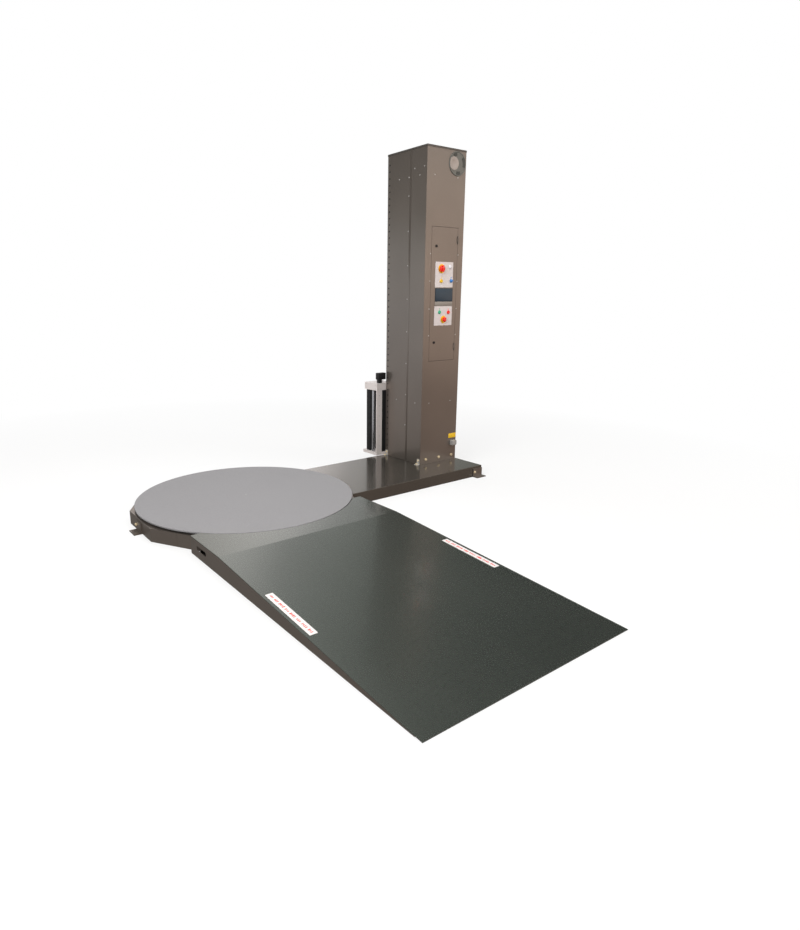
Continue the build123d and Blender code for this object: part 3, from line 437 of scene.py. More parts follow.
def coat(name, colour, roughness, metallic, floor_dust=0.0, peel=0.00002, coat_weight=0.0):
    """Powder coat: fine flake, orange peel, slightly uneven tone, faint scuffs, dust near the floor."""
    uneven, flake, rubbed = 0.08, 0.03, 0.03
    paint = Paint(name, coat_roughness=0.06, coat_weight=coat_weight)
    cloud = paint.between(paint.noise(1.7, 2.0), 0.3, 0.7)
    grain = paint.noise(900.0, 1.0)
    scuff = paint.between(paint.noise(14.0, 6.0, 0.65), 0.6, 0.78)
    tone = paint.mix(cloud, shaded(colour, 1 - uneven), shaded(colour, 1 + uneven))
    tone = paint.mix(paint.between(grain, 0.35, 0.65) * flake, tone, (0.75, 0.73, 0.7))
    tone = paint.mix(scuff * rubbed, tone, (0.4, 0.39, 0.37))
    if floor_dust:
        low = paint.between(paint.axis("Z", paint.place), 0.05, 0.0)
        low = low * paint.between(paint.noise(9.0, 4.0), 0.3, 0.7)
        tone = paint.mix(low * floor_dust, tone, (0.2, 0.18, 0.16))
    paint.set("Base Color", tone)
    paint.set("Roughness", roughness + scuff * 0.036 + (grain - 0.5) * 0.05)
    paint.set("Metallic", metallic)
    paint.bump(paint.noise(420.0, 2.0) + grain * 0.3, peel)
    return paint.material


def deck_enamel():
    """Smooth enamel on the ramp, with soft wheel tracks that run down the slope."""
    paint = Paint("deck_enamel", coat_weight=0.6, coat_roughness=0.12)
    tracks = paint.between(paint.noise(6.0, 1.0, 0.5, paint.stretched(1, 0.12, 1)), 0.3, 0.8)
    cloud = paint.between(paint.noise(1.1, 2.0), 0.3, 0.7)
    grain = paint.noise(220.0, 1.0)
    tone = paint.mix(cloud, (0.122, 0.139, 0.124), (0.138, 0.156, 0.14))
    tone = paint.mix(tracks * 0.08, tone, (0.22, 0.225, 0.205))
    paint.set("Base Color", tone)
    paint.set("Roughness", 0.27 + (grain - 0.5) * 0.04)
    paint.set("Metallic", 0.75)
    paint.bump(grain, 0.000004)
    return paint.material


def moulded(name, colour, roughness, coat_weight=0.0):
    """Moulded plastic with a fine spark-eroded grain and handling marks."""
    paint = Paint(name, coat_weight=coat_weight, coat_roughness=0.08)
    marks = paint.between(paint.noise(60.0, 5.0, 0.6), 0.55, 0.75)
    paint.set("Base Color", paint.mix(marks * 0.25, colour, shaded(colour, 1.4, 0.02)))
    paint.set("Roughness", roughness + marks * 0.12)
    paint.bump(paint.noise(2500.0, 2.0), 0.00002)
    return paint.material


def plated(name, colour, roughness, cloud_colour=None, metallic=1.0):
    """Zinc or nickel plate with cloudy passivation and faint turning marks."""
    paint = Paint(name, metallic=metallic)
    cloud = paint.between(paint.noise(90.0, 4.0, 0.6), 0.35, 0.7)
    paint.set("Base Color", paint.mix(cloud, colour, cloud_colour or shaded(colour, 0.7)))
    paint.set("Roughness", roughness + cloud * 0.2)
    paint.bump(paint.noise(800.0, 2.0), 0.00002)
    return paint.material


def steel(name, colour=(0.42, 0.42, 0.43), roughness=0.35, stretch=(1, 1, 1)):
    """Machined steel with long fine tool marks."""
    paint = Paint(name, metallic=1.0)
    lines = paint.noise(700.0, 3.0, 0.6, paint.stretched(*stretch))
    stain = paint.between(paint.noise(12.0, 5.0), 0.4, 0.75)
    paint.set("Base Color", paint.mix(stain * 0.5, colour, shaded(colour, 0.6)))
    paint.set("Roughness", roughness + (lines - 0.5) * 0.25 + stain * 0.15)
    paint.bump(lines, 0.00003)
    return paint.material


def rubber(name, colour=(0.02, 0.02, 0.021), roughness=0.6):
    """Ground black rubber with a bloom of dust."""
    paint = Paint(name)
    dust = paint.between(paint.noise(35.0, 5.0, 0.6), 0.45, 0.8)
    paint.set("Base Color", paint.mix(dust * 0.35, colour, (0.09, 0.088, 0.085)))
    paint.set("Roughness", roughness + dust * 0.2)
    paint.bump(paint.noise(1500.0, 2.0), 0.00004)
    return paint.material


def anti_slip():
    """Light grey coating with embedded grit, a little darker where pallets drag."""
    paint = Paint("anti_slip_grey")
    grit = paint.node("ShaderNodeTexVoronoi", {}, {"Vector": paint.place, "Scale": 420.0}, output="Distance")
    speck = paint.noise(330.0, 3.0, 0.7)
    cloud = paint.noise(3.0, 4.0)
    drag = paint.between(paint.noise(7.0, 6.0, 0.7, paint.stretched(1, 0.35, 1)), 0.5, 0.72)
    tone = paint.mix(paint.between(speck, 0.35, 0.65), (0.215, 0.212, 0.222), (0.325, 0.32, 0.333))
    tone = paint.mix(paint.between(cloud, 0.35, 0.65) * 0.2, tone, (0.28, 0.28, 0.29))
    tone = paint.mix(drag * 0.08, tone, (0.2, 0.2, 0.205))
    paint.set("Base Color", tone)
    paint.set("Roughness", 0.55 + (speck - 0.5) * 0.3)
    paint.bump((1 - grit) * 0.5 + speck, 0.0004, 0.5)
    return paint.material


FINISHES = {
    "body_paint": coat("powder_coat_taupe", (0.25, 0.212, 0.185), 0.32, 0.72, floor_dust=0.15,
                       coat_weight=0.8),
    "deck_paint": deck_enamel(),
    "disc_coating": anti_slip(),
    "cap_paint": coat("powder_coat_dark", (0.1, 0.088, 0.078), 0.4, 0.4),
    "frame_steel": coat("primer_grey", (0.05, 0.05, 0.052), 0.55, 0.0, floor_dust=0.6),
    "machined_steel": steel("turned_steel"),
    "gearmotor_cast": coat("motor_enamel", (0.05, 0.07, 0.09), 0.4, 0.0, peel=0.0002),
    "belt_rubber": rubber("belt_black"),
    "wheel_nylon": moulded("nylon_cream", (0.6, 0.56, 0.47), 0.45),
    "pulley_alloy": steel("machined_alloy", (0.62, 0.62, 0.63), 0.3),
    "zinc": plated("zinc_yellow", (0.86, 0.72, 0.45), 0.3, (0.8, 0.68, 0.52), 0.35),
    "zinc_clear": plated("zinc_bright", (0.66, 0.63, 0.59), 0.4, (0.56, 0.54, 0.52), 0.35),
    "label_white": moulded("label_vinyl", (0.8, 0.77, 0.76), 0.35),
    "plate_white": moulded("plate_laminate", (0.72, 0.665, 0.66), 0.3),
    "badge": coat("badge_enamel", (0.15, 0.15, 0.135), 0.35, 0.3),
    "carriage_grey": coat("carriage_enamel", (0.86, 0.79, 0.77), 0.3, 0.0),
    "black_paint": coat("black_enamel", (0.012, 0.012, 0.013), 0.4, 0.0),
    "black_plastic": moulded("moulded_black", (0.015, 0.014, 0.015), 0.4),
    "roller_rubber": rubber("roller_rubber", (0.017, 0.017, 0.018), 0.4),
    "chrome": plated("chrome_plate", (0.78, 0.8, 0.84), 0.06, (0.7, 0.72, 0.76)),
    "core_alloy": steel("spindle_alloy", (0.6, 0.6, 0.62), 0.3, (1, 1, 0.05)),
    "screen": moulded("screen_slate", (0.026, 0.042, 0.06), 0.35),
    "red": moulded("signal_red", (0.92, 0.03, 0.018), 0.25, coat_weight=0.3),
    "green": moulded("signal_green", (0.06, 0.48, 0.28), 0.25, coat_weight=0.3),
    "yellow": moulded("signal_yellow", (0.9, 0.56, 0.02), 0.3),
    "blue": moulded("signal_blue", (0.05, 0.26, 0.7), 0.25),
    "device_grey": moulded("device_grey", (0.5, 0.5, 0.5), 0.45),
}
glossy_taupe = coat("powder_coat_taupe_wiped", (0.15, 0.135, 0.116), 0.24, 0.7, floor_dust=0.15,
                    peel=0.00001, coat_weight=0.7)
badge_pale = coat("badge_pale", (0.36, 0.31, 0.28), 0.35, 0.2)
badge_dark = coat("badge_dark", (0.05, 0.052, 0.046), 0.35, 0.2)
lamp_white = moulded("lamp_white", (0.85, 0.86, 0.92), 0.15, coat_weight=0.5)
screen_strip = coat("screen_strip", (0.3, 0.27, 0.24), 0.4, 0.1)
glass_dark = moulded("screen_glass", (0.024, 0.044, 0.066), 0.3)
socket_grey = moulded("socket_grey", (0.36, 0.35, 0.34), 0.4)
duct_grey = moulded("duct_grey", (0.36, 0.37, 0.38), 0.5)
galvanised = plated("galvanised_plate", (0.55, 0.56, 0.57), 0.35)
device_black = moulded("device_black", (0.03, 0.03, 0.033), 0.45)
for part in frame["record"]["subparts"]:
    for place in nodes[part["node"]].material_slots:
        place.material = FINISHES[part["material_slot"]]


# ---- fixings ---------------------------------------------------------------------------------
def round_screw(name):
    """Round head with a cross recess, of radius 1 before it is set to size."""
    tree = Grower(name, head_height=0.44, recess_width=0.2, recess_length=1.1, seed=11,
                  finish=FINISHES["zinc_clear"])
    ball = tree.node("GeometryNodeMeshUVSphere", {}, {"Segments": 16, "Rings": 8, "Radius": 1.0})
    dome = tree.moved(ball, scale=tree.vector(1.0, 1.0, tree.given("head_height")))
    width, length, height = tree.given("recess_width"), tree.given("recess_length"), tree.given("head_height")
    below = tree.cube((3.0, 3.0, 1.0), (0, 0, -0.5))
    across = tree.cube(tree.vector(length, width, height), tree.vector(z=height))
    along = tree.cube(tree.vector(width, length, height), tree.vector(z=height))
    head = tree.carve(dome, below, across, along)
    return tree.close(tree.scatter(head, tree.any_turn()))


def hexagon_bolt(name):
    """Hexagon head on its washer, for a washer of radius 1 before it is set to size."""
    tree = Grower(name, head_across=1.44, head_height=0.62, top_across=1.38, washer_thickness=0.18,
                  seed=5, finish=FINISHES["zinc"])
    height, rise = tree.given("head_height"), tree.given("washer_thickness")
    lift = tree.maths("ADD", tree.maths("MULTIPLY", height, 0.5), rise)
    radius = tree.maths("DIVIDE", tree.given("head_across"), sqrt(3))
    head = tree.drum(radius, height, 6, tree.vector(z=lift))
    top = tree.maths("MULTIPLY", tree.given("top_across"), 0.5)
    cone = tree.node("GeometryNodeMeshCone", {}, {"Vertices": 24, "Radius Top": top, "Depth": height,
                                                  "Radius Bottom": tree.maths("ADD", top, height)})
    head = tree.common(head, tree.moved(cone, tree.vector(z=rise)))
    washer = tree.drum(1.0, rise, 24, tree.vector(z=tree.maths("MULTIPLY", rise, 0.5)))
    return tree.close(tree.scatter(tree.joined(head, washer), tree.any_turn()))


def round_plug(name):
    """Low domed plug of radius 1 before it is set to size."""
    tree = Grower(name, dome_height=0.3, rim_height=0.12, finish=FINISHES["black_plastic"])
    ball = tree.node("GeometryNodeMeshUVSphere", {}, {"Segments": 14, "Rings": 6, "Radius": 0.8})
    dome = tree.carve(tree.moved(ball, scale=tree.vector(1.0, 1.0, tree.given("dome_height"))),
                      tree.cube((3.0, 3.0, 1.0), (0, 0, -0.5)))
    rim = tree.drum(1.0, tree.given("rim_height"), 14,
                    tree.vector(z=tree.maths("MULTIPLY", tree.given("rim_height"), 0.5)))
    return tree.close(tree.scatter(tree.joined(dome, rim)))


def bar_row(name, finish, low_scale, high_scale, seed):
    """Short bars of uneven size, 1 by 1 by 1 before they are set to size."""
    tree = Grower(name, shortest=low_scale, longest=high_scale, seed=seed, finish=finish)
    uneven = tree.node("FunctionNodeRandomValue", {"data_type": "FLOAT_VECTOR"},
                       {0: tree.given("shortest"), 1: tree.given("longest"), 8: tree.given("seed")})
    return tree.close(tree.scatter(tree.cube((1.0, 1.0, 1.0), (0, 0, 0.5)), scale=uneven))


ZINC_SCREW = round_screw("cross_head_screw")
ZINC_BOLT = hexagon_bolt("hexagon_bolt")
HOLE_PLUG = round_plug("hole_plug")


def cover_screws():
    places = []
    for box in solids("cover_screws"):
        size = span(box)
        out = 1 if size.y < size.x else 0     # the axis the shank runs along
        point = middle(box)
        point[out] = box[1][out]
        places.append((point, (0, -1, 0) if out else (-1, 0, 0), size.z / 2))
    grow("cover_screw_heads", ZINC_SCREW, places, "base", "zinc_clear", ["cover_screws"])


def frame_bolts():
    """A head and washer over every washer of the frame; the shanks are out of sight."""
    places, thickest_washer = [], 2.5 * MM
    for box in solids("fasteners"):
        size = span(box)
        thin = min(range(3), key=lambda i: size[i])
        if size[thin] > thickest_washer:
            continue
        side = -1 if thin == 0 or (thin == 1 and box[0].y < 0.3) else 1
        point = middle(box)
        point[thin] = box[1][thin] if side < 0 else box[0][thin]
        places.append((point, tuple(side if i == thin else 0 for i in range(3)), max(size) / 2))
    grow("frame_bolts", ZINC_BOLT, places, "base", "zinc", ["fasteners"])


def hole_plugs():
    """Row of plugged holes near the back edge of the column's left side."""
    low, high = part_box("side_covers")
    pitch, edge, radius, first = 50 * MM, 22 * MM, 6.5 * MM, 0.8
    count = int((high.z - low.z - pitch) / pitch)
    places = [((low.x, high.y - edge, low.z + pitch * (i + first)), (-1, 0, 0), radius) for i in range(count)]
    grow("hole_plugs", HOLE_PLUG, places, "base", "black_plastic")


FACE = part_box("touch_screen")[1].y          # front plane of the column
PLATE_FRONT = FACE - 2 * MM                 # front of the laminate plates


# ---- ramp and column trim ---------------------------------------------------------------------
def ramp_labels():
    """White strips on the ramp with a broken red line."""
    strips, marks = Shape(), []
    thickness, margin, dashes = 0.6 * MM, 12 * MM, 34
    for low, high in solids("ramp_labels"):
        tilt = atan2(high.z - low.z - thickness, high.y - low.y)
        length = (high.y - low.y) / cos(tilt)
        centre = middle((low, high)) - Vector((0, 0, thickness / 2))
        place = Matrix.Translation(centre) @ Matrix.Rotation(tilt, 4, "X")
        strips.plate(rounded(high.x - low.x, length, 3 * MM), thickness, place=place)
        run = length - 2 * margin
        for i in range(dashes):
            if i % 9 not in (3, 8):
                point = place @ Vector((0, (i + 0.5) / dashes * run - run / 2, thickness - 0.1 * MM))
                marks.append((point, place.to_3x3() @ Vector((0, 0, 1)), 1.0))
    strips.piece("ramp_strips", "base", "label_white", ["ramp_labels"])
    dash = bar_row("strip_dash", FINISHES["red"], (0.009, 0.004, 0.0003), (0.017, 0.0085, 0.0003), 3)
    grow("strip_dashes", dash, marks, "base", "label_white")


def round_badge():
    """Raised ring round a dished plate, with a pale hub and dark arcs."""
    low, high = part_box("round_badge")
    radius, thick = (high.x - low.x) / 2, high.y - low.y
    place = on_front((low.x + high.x) / 2, high.y, (low.z + high.z) / 2)
    ring = [(0, 0), (radius, 0), (radius, 0.5 * thick), (radius - 0.4 * thick, thick),
            (radius - 1.6 * thick, thick), (radius - 2.0 * thick, 0.5 * thick), (0, 0.5 * thick)]
    Shape().turned(ring, place, 64).piece("badge_ring", "base", "badge", ["round_badge"])
    hub = 0.54 * radius
    disc = [(0, 0.4 * thick), (hub, 0.4 * thick), (hub, 0.8 * thick), (hub - 0.2 * thick, 0.95 * thick),
            (0.5 * hub, 0.95 * thick), (0.42 * hub, 0.7 * thick), (0, 0.7 * thick)]
    aside = place @ Matrix.Translation((-0.42 * radius, 0, 0))
    Shape().turned(disc, aside, 48).piece("badge_centre", "base", "badge", finish=badge_pale)
    arcs, outer, inner, steps = Shape(), 0.88 * radius, 0.62 * radius, 8
    for start, end in ((98, 128), (-18, 42), (-100, -66)):
        turns = [radians(start + (end - start) * i / steps) for i in range(steps + 1)]
        outline = [(outer * cos(t), outer * sin(t)) for t in turns]
        outline += [(inner * cos(t), inner * sin(t)) for t in reversed(turns)]
        arcs.plate(outline, 0.8 * thick, place=place)
    arcs.piece("badge_arcs", "base", "badge", finish=badge_dark)


def corner_brackets():
    """Pressed angles with a rounded inside corner."""
    angles = Shape()
    thick, inner, steps = 4 * MM, 3 * MM, 4
    turns = [pi / 2 * i / steps for i in range(steps + 1)]
    corner = [(-thick - inner * (1 - sin(t)), thick + inner * (1 - cos(t))) for t in reversed(turns)]
    for low, high in solids("corner_brackets"):
        width, rise = high.x - low.x, high.z - low.z
        outline = [(-width, 0), (0, 0), (0, rise), (-thick, rise), *corner, (-width, thick)]
        angles.plate(outline, high.y - low.y, place=on_front(high.x, high.y, low.z))
    angles.piece("corner_angles", "base", "zinc_clear", ["corner_brackets"])


def name_plate():
    """Plain yellow plate, slightly domed at its edge, held by two rivets."""
    low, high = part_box("warning_plate")
    centre = ((low.x + high.x) / 2, high.y, (low.z + high.z) / 2)
    width, height = high.x - low.x, high.z - low.z
    plate = Shape().plate(rounded(width, height, 4 * MM), 1 * MM, 0.4 * MM, on_front(*centre))
    plate.piece("yellow_plate", "base", "yellow", ["warning_plate"])
    rivets = [((centre[0] + side * (width / 2 - 6 * MM), low.y + 0.2 * MM, centre[2]), (0, -1, 0), 2.2 * MM)
              for side in (-1, 1)]
    grow("plate_rivets", HOLE_PLUG, rivets, "base", "zinc_clear", finish=FINISHES["zinc_clear"])


def power_inlet():
    """Socket housing with its lid, and a ribbed cable gland inside it."""
    socket = max(solids("power_inlet"), key=lambda box: span(box).x * span(box).y * span(box).z)
    housing = Shape().box(*socket, soft=5 * MM, steps=3)
    housing.piece("socket_housing", "base", "black_plastic", ["power_inlet"], socket_grey)
    x, z, front, top = middle(socket).x, middle(socket).z, socket[0].y, socket[1].z
    lid = Shape()
    lid.plate(rounded(44 * MM, 36 * MM, 8 * MM), 4 * MM, 1.5 * MM, on_front(x, front, z))
    lid.box((x - 14 * MM, front - 3 * MM, top - 6 * MM), (x + 14 * MM, front, top - 1 * MM), 1.2 * MM)
    lid.piece("socket_lid", "base", "black_plastic", finish=socket_grey)
    place = on_front(x, FACE, z)
    corner = 0.98 * 13 * 2 / sqrt(3)
    nut = [(corner * cos(pi / 3 * i), corner * sin(pi / 3 * i)) for i in range(6)]
    collar = Shape().plate(in_mm(nut), 8 * MM, 1 * MM, place)
    ribs = [(5, 10), (5, 22), (8, 22)]
    for i in range(4):
        ribs += [(8.6 + 0.4 * i, 20.8 - 3 * i), (9.6 + 0.1 * i, 20 - 3 * i), (8.6 + 0.4 * i, 18.6 - 3 * i)]
    ribs += [(10, 8), (5, 8), (5, 10)]
    collar.turned(in_mm(ribs), place, 24).piece("cable_gland", "base", "black_plastic")


# ---- controls on the door ----------------------------------------------------------------------
def control_places():
    """Middle of every control on the door, as (x, z)."""
    named = {"reset": "reset_button", "start": "start_button", "stop": "stop_button",
             "estop": "estop_head", "switch": "main_switch_knob", "selector": "blue_selector"}
    return {key: (middle(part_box(node)).x, middle(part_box(node)).z) for key, node in named.items()}


AT = control_places()


def on_plate(key, rise=0.0):
    """Matrix for a shape that stands on the control plates at a control."""
    x, z = AT[key]
    return on_front(x, PLATE_FRONT, z + rise * MM)


def plates():
    """The two laminate plates, cut out round every control, with rings, lamp, marks and screws."""
    boxes = solids("control_plates")
    cut = Shape().cad("control_plates", lambda box: span(box).x > 0.1)
    collar = [v for v in cut.bm.verts if v.co.y < PLATE_FRONT - 0.5 * MM]
    bmesh.ops.delete(cut.bm, geom=collar, context="VERTS")
    seat = [f for f in cut.bm.faces
            if f.normal.y > 0.9 and abs(f.calc_center_median().y - PLATE_FRONT) < 0.1 * MM]
    bmesh.ops.delete(cut.bm, geom=seat, context="FACES")
    cut.piece("control_plates_cut", "door", "plate_white", ["control_plates"], smooth=1)
    ring = [(11.4, 0), (15.5, 0), (15.5, 1.5), (14.2, 3.6), (12.4, 4.0), (11.4, 3.4), (11.4, 0)]
    for key, slot in (("reset", "yellow"), ("start", "green"), ("stop", "red")):
        lathe(ring, on_plate(key)).piece(key + "_ring", "door", slot)
    ring = [(6.4, 0), (17, 0), (17, 0.1), (16.4, 0.25), (6.4, 0.25), (6.4, 0)]
    lathe(ring, on_plate("selector")).piece("selector_ring", "door", "plate_white", finish=duct_grey)
    collars = Shape()
    for key, radius in (("switch", 35), ("estop", 30)):
        ring = [(6.4, 0), (radius, 0), (radius, 1.2), (radius - 0.9, 2.0), (6.4, 2.0), (6.4, 0)]
        collars.turned(in_mm(ring), on_plate(key), 48)
    collars.piece("yellow_collars", "door", "yellow")
    lamp = middle([box for box in boxes if abs(span(box).x - 22 * MM) < MM][0])
    lens = [(0, 0), (14, 0), (14, 1.5), (12.5, 2.2), (11, 2.2), (11, 5), (9.5, 7.5), (6, 8.7), (0, 9)]
    lathe(lens, on_front(lamp.x, PLATE_FRONT, lamp.z)).piece(
        "signal_lamp", "door", "plate_white", finish=lamp_white)
    inset = (5 * MM, -5 * MM)
    screws = [((box[side].x + inset[side], PLATE_FRONT, box[end].z + inset[end]), (0, -1, 0), 2.4 * MM)
              for box in sorted(boxes, key=lambda box: -span(box).x)[:2] for side in (0, 1) for end in (0, 1)]
    grow("plate_screws", ZINC_SCREW, screws, "door", "zinc_clear")
    for key, slot, width, rise in (("reset", "yellow", 13, 26), ("start", "green", 15, 25),
                                   ("stop", "red", 15, 25), ("selector", "blue", 12, 25)):
        outline = rounded(width * MM, 5 * MM, 2 * MM)
        Shape().plate(outline, 0.4 * MM, place=on_plate(key, rise)).piece(key + "_mark", "door", slot)


def screen():
    """Screen in its frame, over a paler strip."""
    low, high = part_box("touch_screen")
    strip = low.z + 34 * MM
    Shape().box((low.x, low.y + 0.6 * MM, strip), high, 1.2 * MM).piece(
        "screen_frame", "door", "screen", ["touch_screen"])
    Shape().box((low.x, low.y + 1.6 * MM, low.z), (high.x, high.y, strip), 1.0 * MM).piece(
        "screen_strip", "door", "screen", finish=screen_strip)
    outline = rounded(high.x - low.x - 16 * MM, high.z - strip - 14 * MM, 3 * MM)
    place = on_front((low.x + high.x) / 2, low.y + 0.8 * MM, (strip + high.z) / 2)
    glass = Shape().plate(outline, 0.7 * MM, 0.3 * MM, place)
    glass.piece("screen_glass", "door", "screen", finish=glass_dark)


def on_stem(name, node, height):
    """Matrix for a control that stands out by a height in millimetres to the front of its CAD node."""
    x, z = AT[name]
    return on_front(x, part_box(node)[0].y + height * MM, z)


def push_buttons():
    """Dished caps on their stems."""
    cap = [(0, -24), (6, -24), (6, 3.3), (11, 3.3), (11, 8), (10.4, 8.8), (9.4, 9), (8, 8.6), (4, 8.1),
           (0, 8)]
    for name, slot in (("reset", "yellow"), ("start", "green"), ("stop", "red")):
        node = name + "_button"
        lathe(cap, on_stem(name, node, 9)).piece(name + "_cap", name, slot, [node])


def emergency_stop():
    """Mushroom head on its neck."""
    head = [(0, -24), (6, -24), (6, 6.3), (13, 6.3), (12.2, 8), (13, 9.4), (18.6, 9.4), (20, 10.8),
            (20, 14.5), (19.5, 17), (17.8, 19.4), (15, 21), (10.5, 22), (9.5, 21.4), (8.8, 21.4), (8, 22.2),
            (0, 22.3)]
    mushroom = lathe(head, on_stem("estop", "estop_head", 22.3), 40)
    mushroom.piece("estop_mushroom", "estop", "red", ["estop_head"])


def rotary_switch():
    """Round knob with a grip bar and a pointer."""
    base = [(0, -24), (6, -24), (6, 2.3), (26, 2.3), (26, 13), (25.2, 15.2), (23, 16), (0, 16)]
    place = on_stem("switch", "main_switch_knob", 26.3)
    knob = lathe(base, place, 40)
    knob.box((-7 * MM, -25 * MM, 10 * MM), (7 * MM, 25 * MM, 26.3 * MM), 2.5 * MM, 3, place)
    knob.piece("switch_grip", "main_switch", "red", ["main_switch_knob"])
    pointer = Shape().box((-1 * MM, 8 * MM, 26 * MM), (1 * MM, 20 * MM, 26.5 * MM), 0.2 * MM, 1, place)
    pointer.piece("switch_pointer", "main_switch", "red", finish=lamp_white)


def selector_switch():
    """Small knob with a bar that lies across."""
    base = [(0, -24), (6, -24), (6, 0.3), (13, 0.3), (13, 4.8), (12, 6.3), (0, 6.3)]
    place = on_stem("selector", "blue_selector", 16.3)
    knob = lathe(base, place)
    knob.box((-12 * MM, -3.5 * MM, 4 * MM), (12 * MM, 3.5 * MM, 16.3 * MM), 1.4 * MM, 3, place)
    knob.piece("selector_grip", "selector", "blue", ["blue_selector"])


def contact_blocks():
    """Lock nut and split contact block behind each control, and the screen's housing."""
    inside = FACE + 2 * MM
    ring = [(6.4, 0), (11, 0), (12, -1), (12, -4), (11, -5), (6.4, -5), (6.4, 0)]
    nuts, blocks = Shape(), Shape()
    for x, z in AT.values():
        for bottom, top in ((-26, -8), (8, 26)):
            blocks.box((x - 14 * MM, inside + 5.5 * MM, z + bottom * MM),
                       (x + 14 * MM, inside + 38 * MM, z + top * MM), 1.5 * MM)
        nuts.turned(in_mm(ring), on_front(x, inside, z), 24)
    low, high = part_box("touch_screen")
    blocks.box((low.x + 12 * MM, inside, low.z + 14 * MM),
               (high.x - 12 * MM, inside + 34 * MM, high.z - 10 * MM), 3 * MM)
    nuts.piece("lock_nuts", "door", "device_grey")
    blocks.piece("contact_blocks", "door", "device_grey", finish=device_black)


# ---- film carriage -----------------------------------------------------------------------------
def photocell():
    """Sensor head on its bracket, with a lens, a sight and a pale plug."""
    low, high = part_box("photocell")
    split = low.z + 30 * MM
    case = Shape()
    case.box(low + Vector((8, 6, 0)) * MM, low + Vector((40, 40, 32)) * MM, 2 * MM)
    case.box((low.x, low.y + 1 * MM, split), high, 4 * MM, 3)
    case.box((low.x + 8 * MM, low.y, split + 8 * MM),
             (high.x - 8 * MM, low.y + 3 * MM, high.z - 8 * MM), 1 * MM)
    case.piece("sensor_case", "carriage", "black_plastic", ["photocell"])
    lens = [(0, 0), (13, 0), (13, 0.7), (11.5, 1.0), (10, 0.5), (5, 0.8), (0, 0.9)]
    lathe(lens, on_front((low.x + high.x) / 2, low.y + 0.9 * MM, (split + high.z) / 2)).piece(
        "sensor_lens", "carriage", "black_plastic", finish=glass_dark)
    plug = [(0, 0), (7, 0), (7, 8), (6, 9.5), (6, 16), (4, 18), (0, 18)]
    lathe(plug, facing((1, 0, 0), low + Vector((40, 20, 14)) * MM), 20).piece(
        "sensor_plug", "carriage", "black_plastic", finish=lamp_white)


def carriage_fixings():
    """Screws round the carriage's head and foot, and plugs up its post."""
    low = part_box("carriage_frame")[0]
    head, large, small, plug = 642, 3.4 * MM, 3 * MM, 3.2 * MM
    front, left, up = (0, -1, 0), (-1, 0, 0), (0, 0, 1)
    spots = [((x, 0, head - z), front, large)
             for x, z in ((14, 12), (14, 50), (176, 12), (176, 50), (46, 50))]
    spots += [((0, y, head - z), left, large) for y in (20, 153) for z in (14, 48)]
    spots += [((x, 0, 12), front, large) for x in (20, 46, 240, 420)]
    spots += [((x, y, head), up, small) for x in (12, 178) for y in (20, 160)]
    places = [(low + Vector(spot) * MM, look, size) for spot, look, size in spots]
    grow("carriage_screws", ZINC_SCREW, places, "carriage", "zinc_clear")
    marks = [(low + Vector((30, 0, z)) * MM, front, plug) for z in range(85, 536, 90)]
    grow("post_plugs", HOLE_PLUG, marks, "carriage", "carriage_grey", finish=duct_grey)


